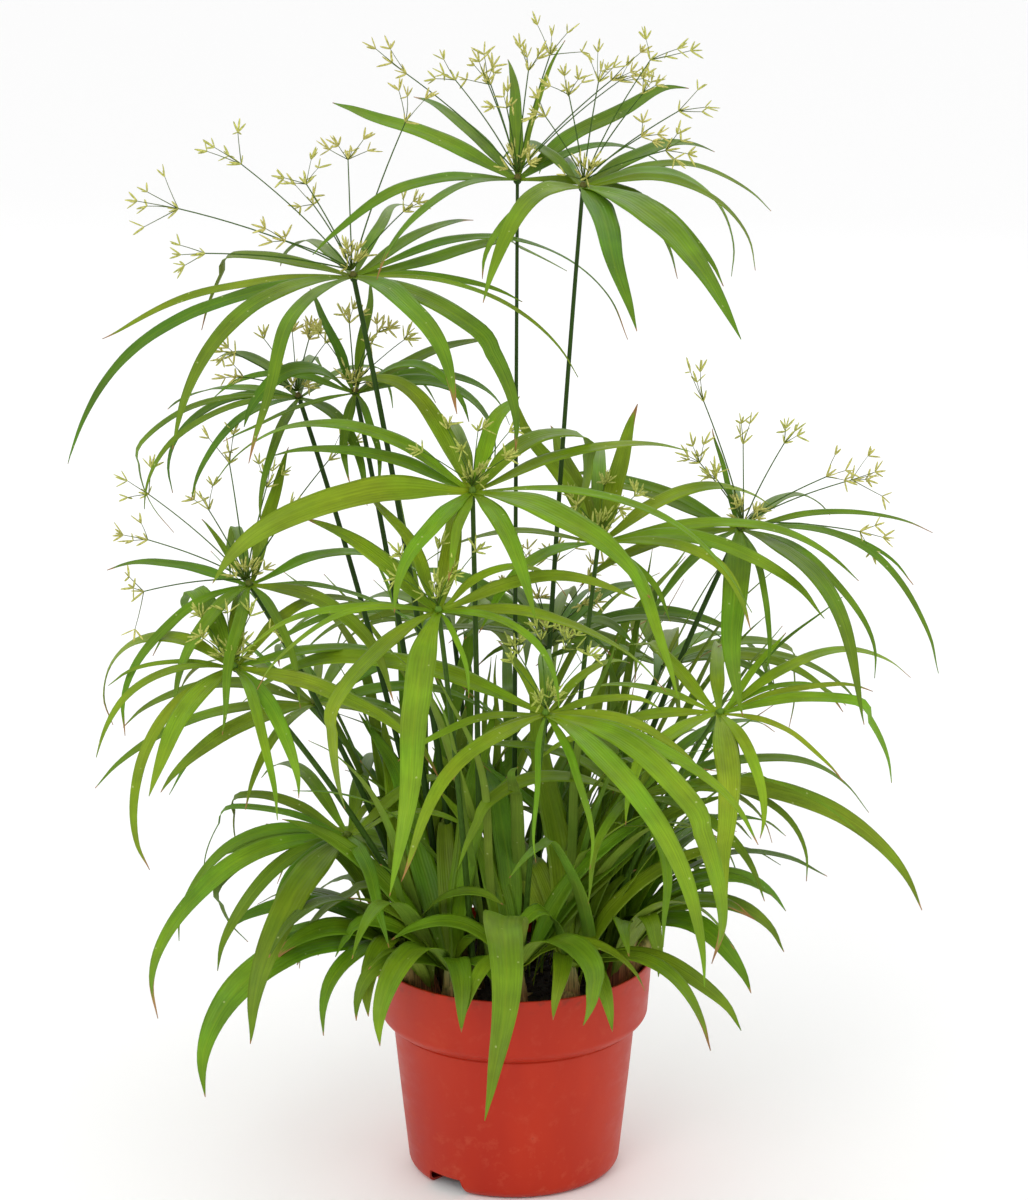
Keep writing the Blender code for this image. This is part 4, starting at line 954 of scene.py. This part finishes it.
def cutWith(piece, low, high, azimuth, narrower=0):
    # removes a block that lies along +X before it is turned to azimuth
    bm = bmesh.new()
    bmesh.ops.create_cube(bm, size=1)
    for vert in bm.verts:
        above = vert.co.z > 0
        vert.co = Vector([high[i] if vert.co[i] > 0 else low[i] for i in range(3)])
        vert.co.y -= math.copysign(narrower if above else 0, vert.co.y)
    bmesh.ops.rotate(bm, verts=bm.verts, matrix=Matrix.Rotation(math.radians(azimuth), 3, "Z"))
    cutter = linkNew("cutter", meshFrom("cutter", bm))
    boolean = piece.modifiers.new("Opening", "BOOLEAN")
    boolean.object = cutter
    return cutter


def makePot(materials):
    look = potLook
    wall, lip, top = look["wall"], look["lip"], look["height"]
    rim = look["rimRadius"]
    inner = list(reversed(potWall(wall) + potFloor(wall, wall)))
    lipArc = arcPoints((rim - wall + lip, top - lip), lip, 180, 90, 4)
    lipArc += arcPoints((rim - lip, top - lip), lip, 90, 0, 4)
    profile = inner + lipArc + potWall(0) + potFloor(0, 0)
    pot = newPiece("nurseryPot", spinProfile(profile, look["segments"]), materials, "terracotta_plastic", "pot")
    notch, slot = look["notch"], look["slot"]
    cutters = []
    footRing = potFloor(0, 0)[0][0]
    half = notch["width"] / 2
    for azimuth in notch["azimuths"]:
        low, high = (footRing - 3 * mm, -half, -5 * mm), (rim, half, notch["height"])
        cutters.append(cutWith(pot, low, high, azimuth, notch["slope"]))
    creaseZ = look["height"] - look["collarHeight"] - look["shoulderHeight"]
    half = slot["width"] / 2
    for azimuth in slot["azimuths"]:
        low = (rim - 18 * mm, -half, creaseZ - slot["drop"] - slot["height"])
        high = (rim, half, creaseZ - slot["drop"])
        cutters.append(cutWith(pot, low, high, azimuth))
    graph = bpy.context.evaluated_depsgraph_get()
    whole = bpy.data.meshes.new_from_object(pot.evaluated_get(graph))
    pot.modifiers.clear()
    pot.data = whole
    for cutter in cutters:
        bpy.data.objects.remove(cutter)
    whole.shade_smooth()
    whole.set_sharp_from_angle(angle=math.radians(38))


soilLook = {
    "radius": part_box("soil")[1].x, "top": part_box("soil")[1].z,
    "rings": 34, "segments": 120, "mound": 3 * mm, "depth": 14 * mm, "grain": 1.6 * mm,
    "footDepth": 2 * mm,  # how far leaves and sheaths start below the soil's edge
    "crumbs": 420, "bits": 48, "large": 8,  # crumbs of peat, bits of bark, and how many of these are large
}


def soilHeight(x, y, edgeZ, radius):
    share = min(1, math.hypot(x, y) / radius)
    lumps = noise.fractal(Vector((x, y, 0)) * 90, 0.8, 2.1, 5)
    return edgeZ + soilLook["mound"] * (1 - share * share) + soilLook["grain"] * lumps


def makeSoil(materials):
    look = soilLook
    radius, edgeZ = look["radius"], look["top"] - look["mound"]
    profile = [(radius * i / look["rings"], edgeZ) for i in range(look["rings"] + 1)]
    profile += [(radius - 1 * mm, edgeZ - look["depth"]), (0, edgeZ - look["depth"])]
    bm = spinProfile(profile, look["segments"])
    for vert in bm.verts:
        if vert.co.z > edgeZ - 1 * mm:
            vert.co.z = soilHeight(vert.co.x, vert.co.y, edgeZ, radius)
    chance = random.Random(5)
    total = look["crumbs"] + look["bits"]
    for i in range(total):
        bit = i >= look["crumbs"]
        turn, out = chance.uniform(0, 2 * math.pi), radius * math.sqrt(chance.random()) * 0.97
        x, y = out * math.cos(turn), out * math.sin(turn)
        size = chance.uniform(0.6, 2.2) * mm * (2 if i >= total - look["large"] else 1)
        wide, thick, long = (2.2, 0.45, 0.5) if bit else (1, 0.7, chance.uniform(0.6, 1))
        shape = Matrix.Diagonal((size * wide, size * long, size * thick, 1))
        place = Matrix.Translation((x, y, soilHeight(x, y, edgeZ, radius) + 0.3 * size))
        turned, tipped = chance.uniform(0, 6.28), chance.uniform(-0.5, 0.5)
        place @= Matrix.Rotation(turned, 4, "Z") @ Matrix.Rotation(tipped, 4, "X")
        crumb = bmesh.ops.create_icosphere(bm, subdivisions=1, radius=1, matrix=place @ shape)
        for face in {face for vert in crumb["verts"] for face in vert.link_faces}:
            face.material_index = 1 if bit else 0
    newPiece("peatSoil", bm, materials, "peat_soil", "soil")


stageLook = {
    "sky": 1.0, "floor": "#fbfbfb", "floorHalf": 40,
    "lights": [
        ("keyLight", (-0.9, -2.2, 1.9), 1.2, 20),  # name, place, size and power
        ("fillLight", (1.8, -1.6, 1.2), 1.6, 5),
        ("backLight", (0.3, 2.2, 1.6), 1.5, 6),
    ],
    "aim": (0, 0, 0.35),  # where the lights point
    "cameraPlace": (0, -2.5, 1.08), "cameraPitch": 16, "sensor": 36, "lens": 129.66,
}


def makeStage():
    bm = bmesh.new()
    bmesh.ops.create_grid(bm, x_segments=1, y_segments=1, size=stageLook["floorHalf"])
    floor = linkNew("floor", meshFrom("floor", bm))
    paper = startMaterial("whitePaper", Roughness=0.8, Base_Color=colour(stageLook["floor"]))[0]
    floor.data.materials.append(paper)
    floor.location.z = -0.2 * mm
    world = bpy.data.worlds.new("studio")
    bpy.context.scene.world = world
    world.use_nodes = True
    background = world.node_tree.nodes["Background"]
    background.inputs["Color"].default_value = (1, 1, 1, 1)
    background.inputs["Strength"].default_value = stageLook["sky"]
    for name, place, size, power in stageLook["lights"]:
        data = bpy.data.lights.new(name, "AREA")
        data.shape = "SQUARE"
        data.size = size
        data.energy = power
        light = linkNew(name, data)
        light.location = place
        light.rotation_euler = (Vector(stageLook["aim"]) - Vector(place)).to_track_quat("-Z", "Y").to_euler()


def makeCamera():
    data = bpy.data.cameras.new("camera")
    data.sensor_width = stageLook["sensor"]
    data.lens = stageLook["lens"]
    camera = linkNew("camera", data)
    camera.location = stageLook["cameraPlace"]
    camera.rotation_euler = (math.radians(90 - stageLook["cameraPitch"]), 0, 0)
    bpy.context.scene.camera = camera


makeCamera()
makeStage()
print("stage done")
makePot([makePotMaterial()])
barkMaterial = startMaterial("barkBits", Roughness=0.8, Base_Color=colour(peatFinish["bark"]))[0]
makeSoil([makePeatMaterial(), barkMaterial])
print("pot and soil done")
culmMaterial, sheathMaterial = makeCulmMaterial(), makeSheathMaterial()
makeCulms([culmMaterial])
print("stems done")
leafMaterials = [makeLeafMaterial("sedgeLeafUpper", "upper"), makeLeafMaterial("sedgeLeafUnder", "under")]
makeCrowns(leafMaterials)
makeShoots(leafMaterials, sheathMaterial)
makeInnerLeaves(leafMaterials)
makeFans(leafMaterials)
makeFanSheaths([sheathMaterial])
print("leaves done")
makeUmbels([culmMaterial, makeSpikeletMaterial()])
print("flower heads done")
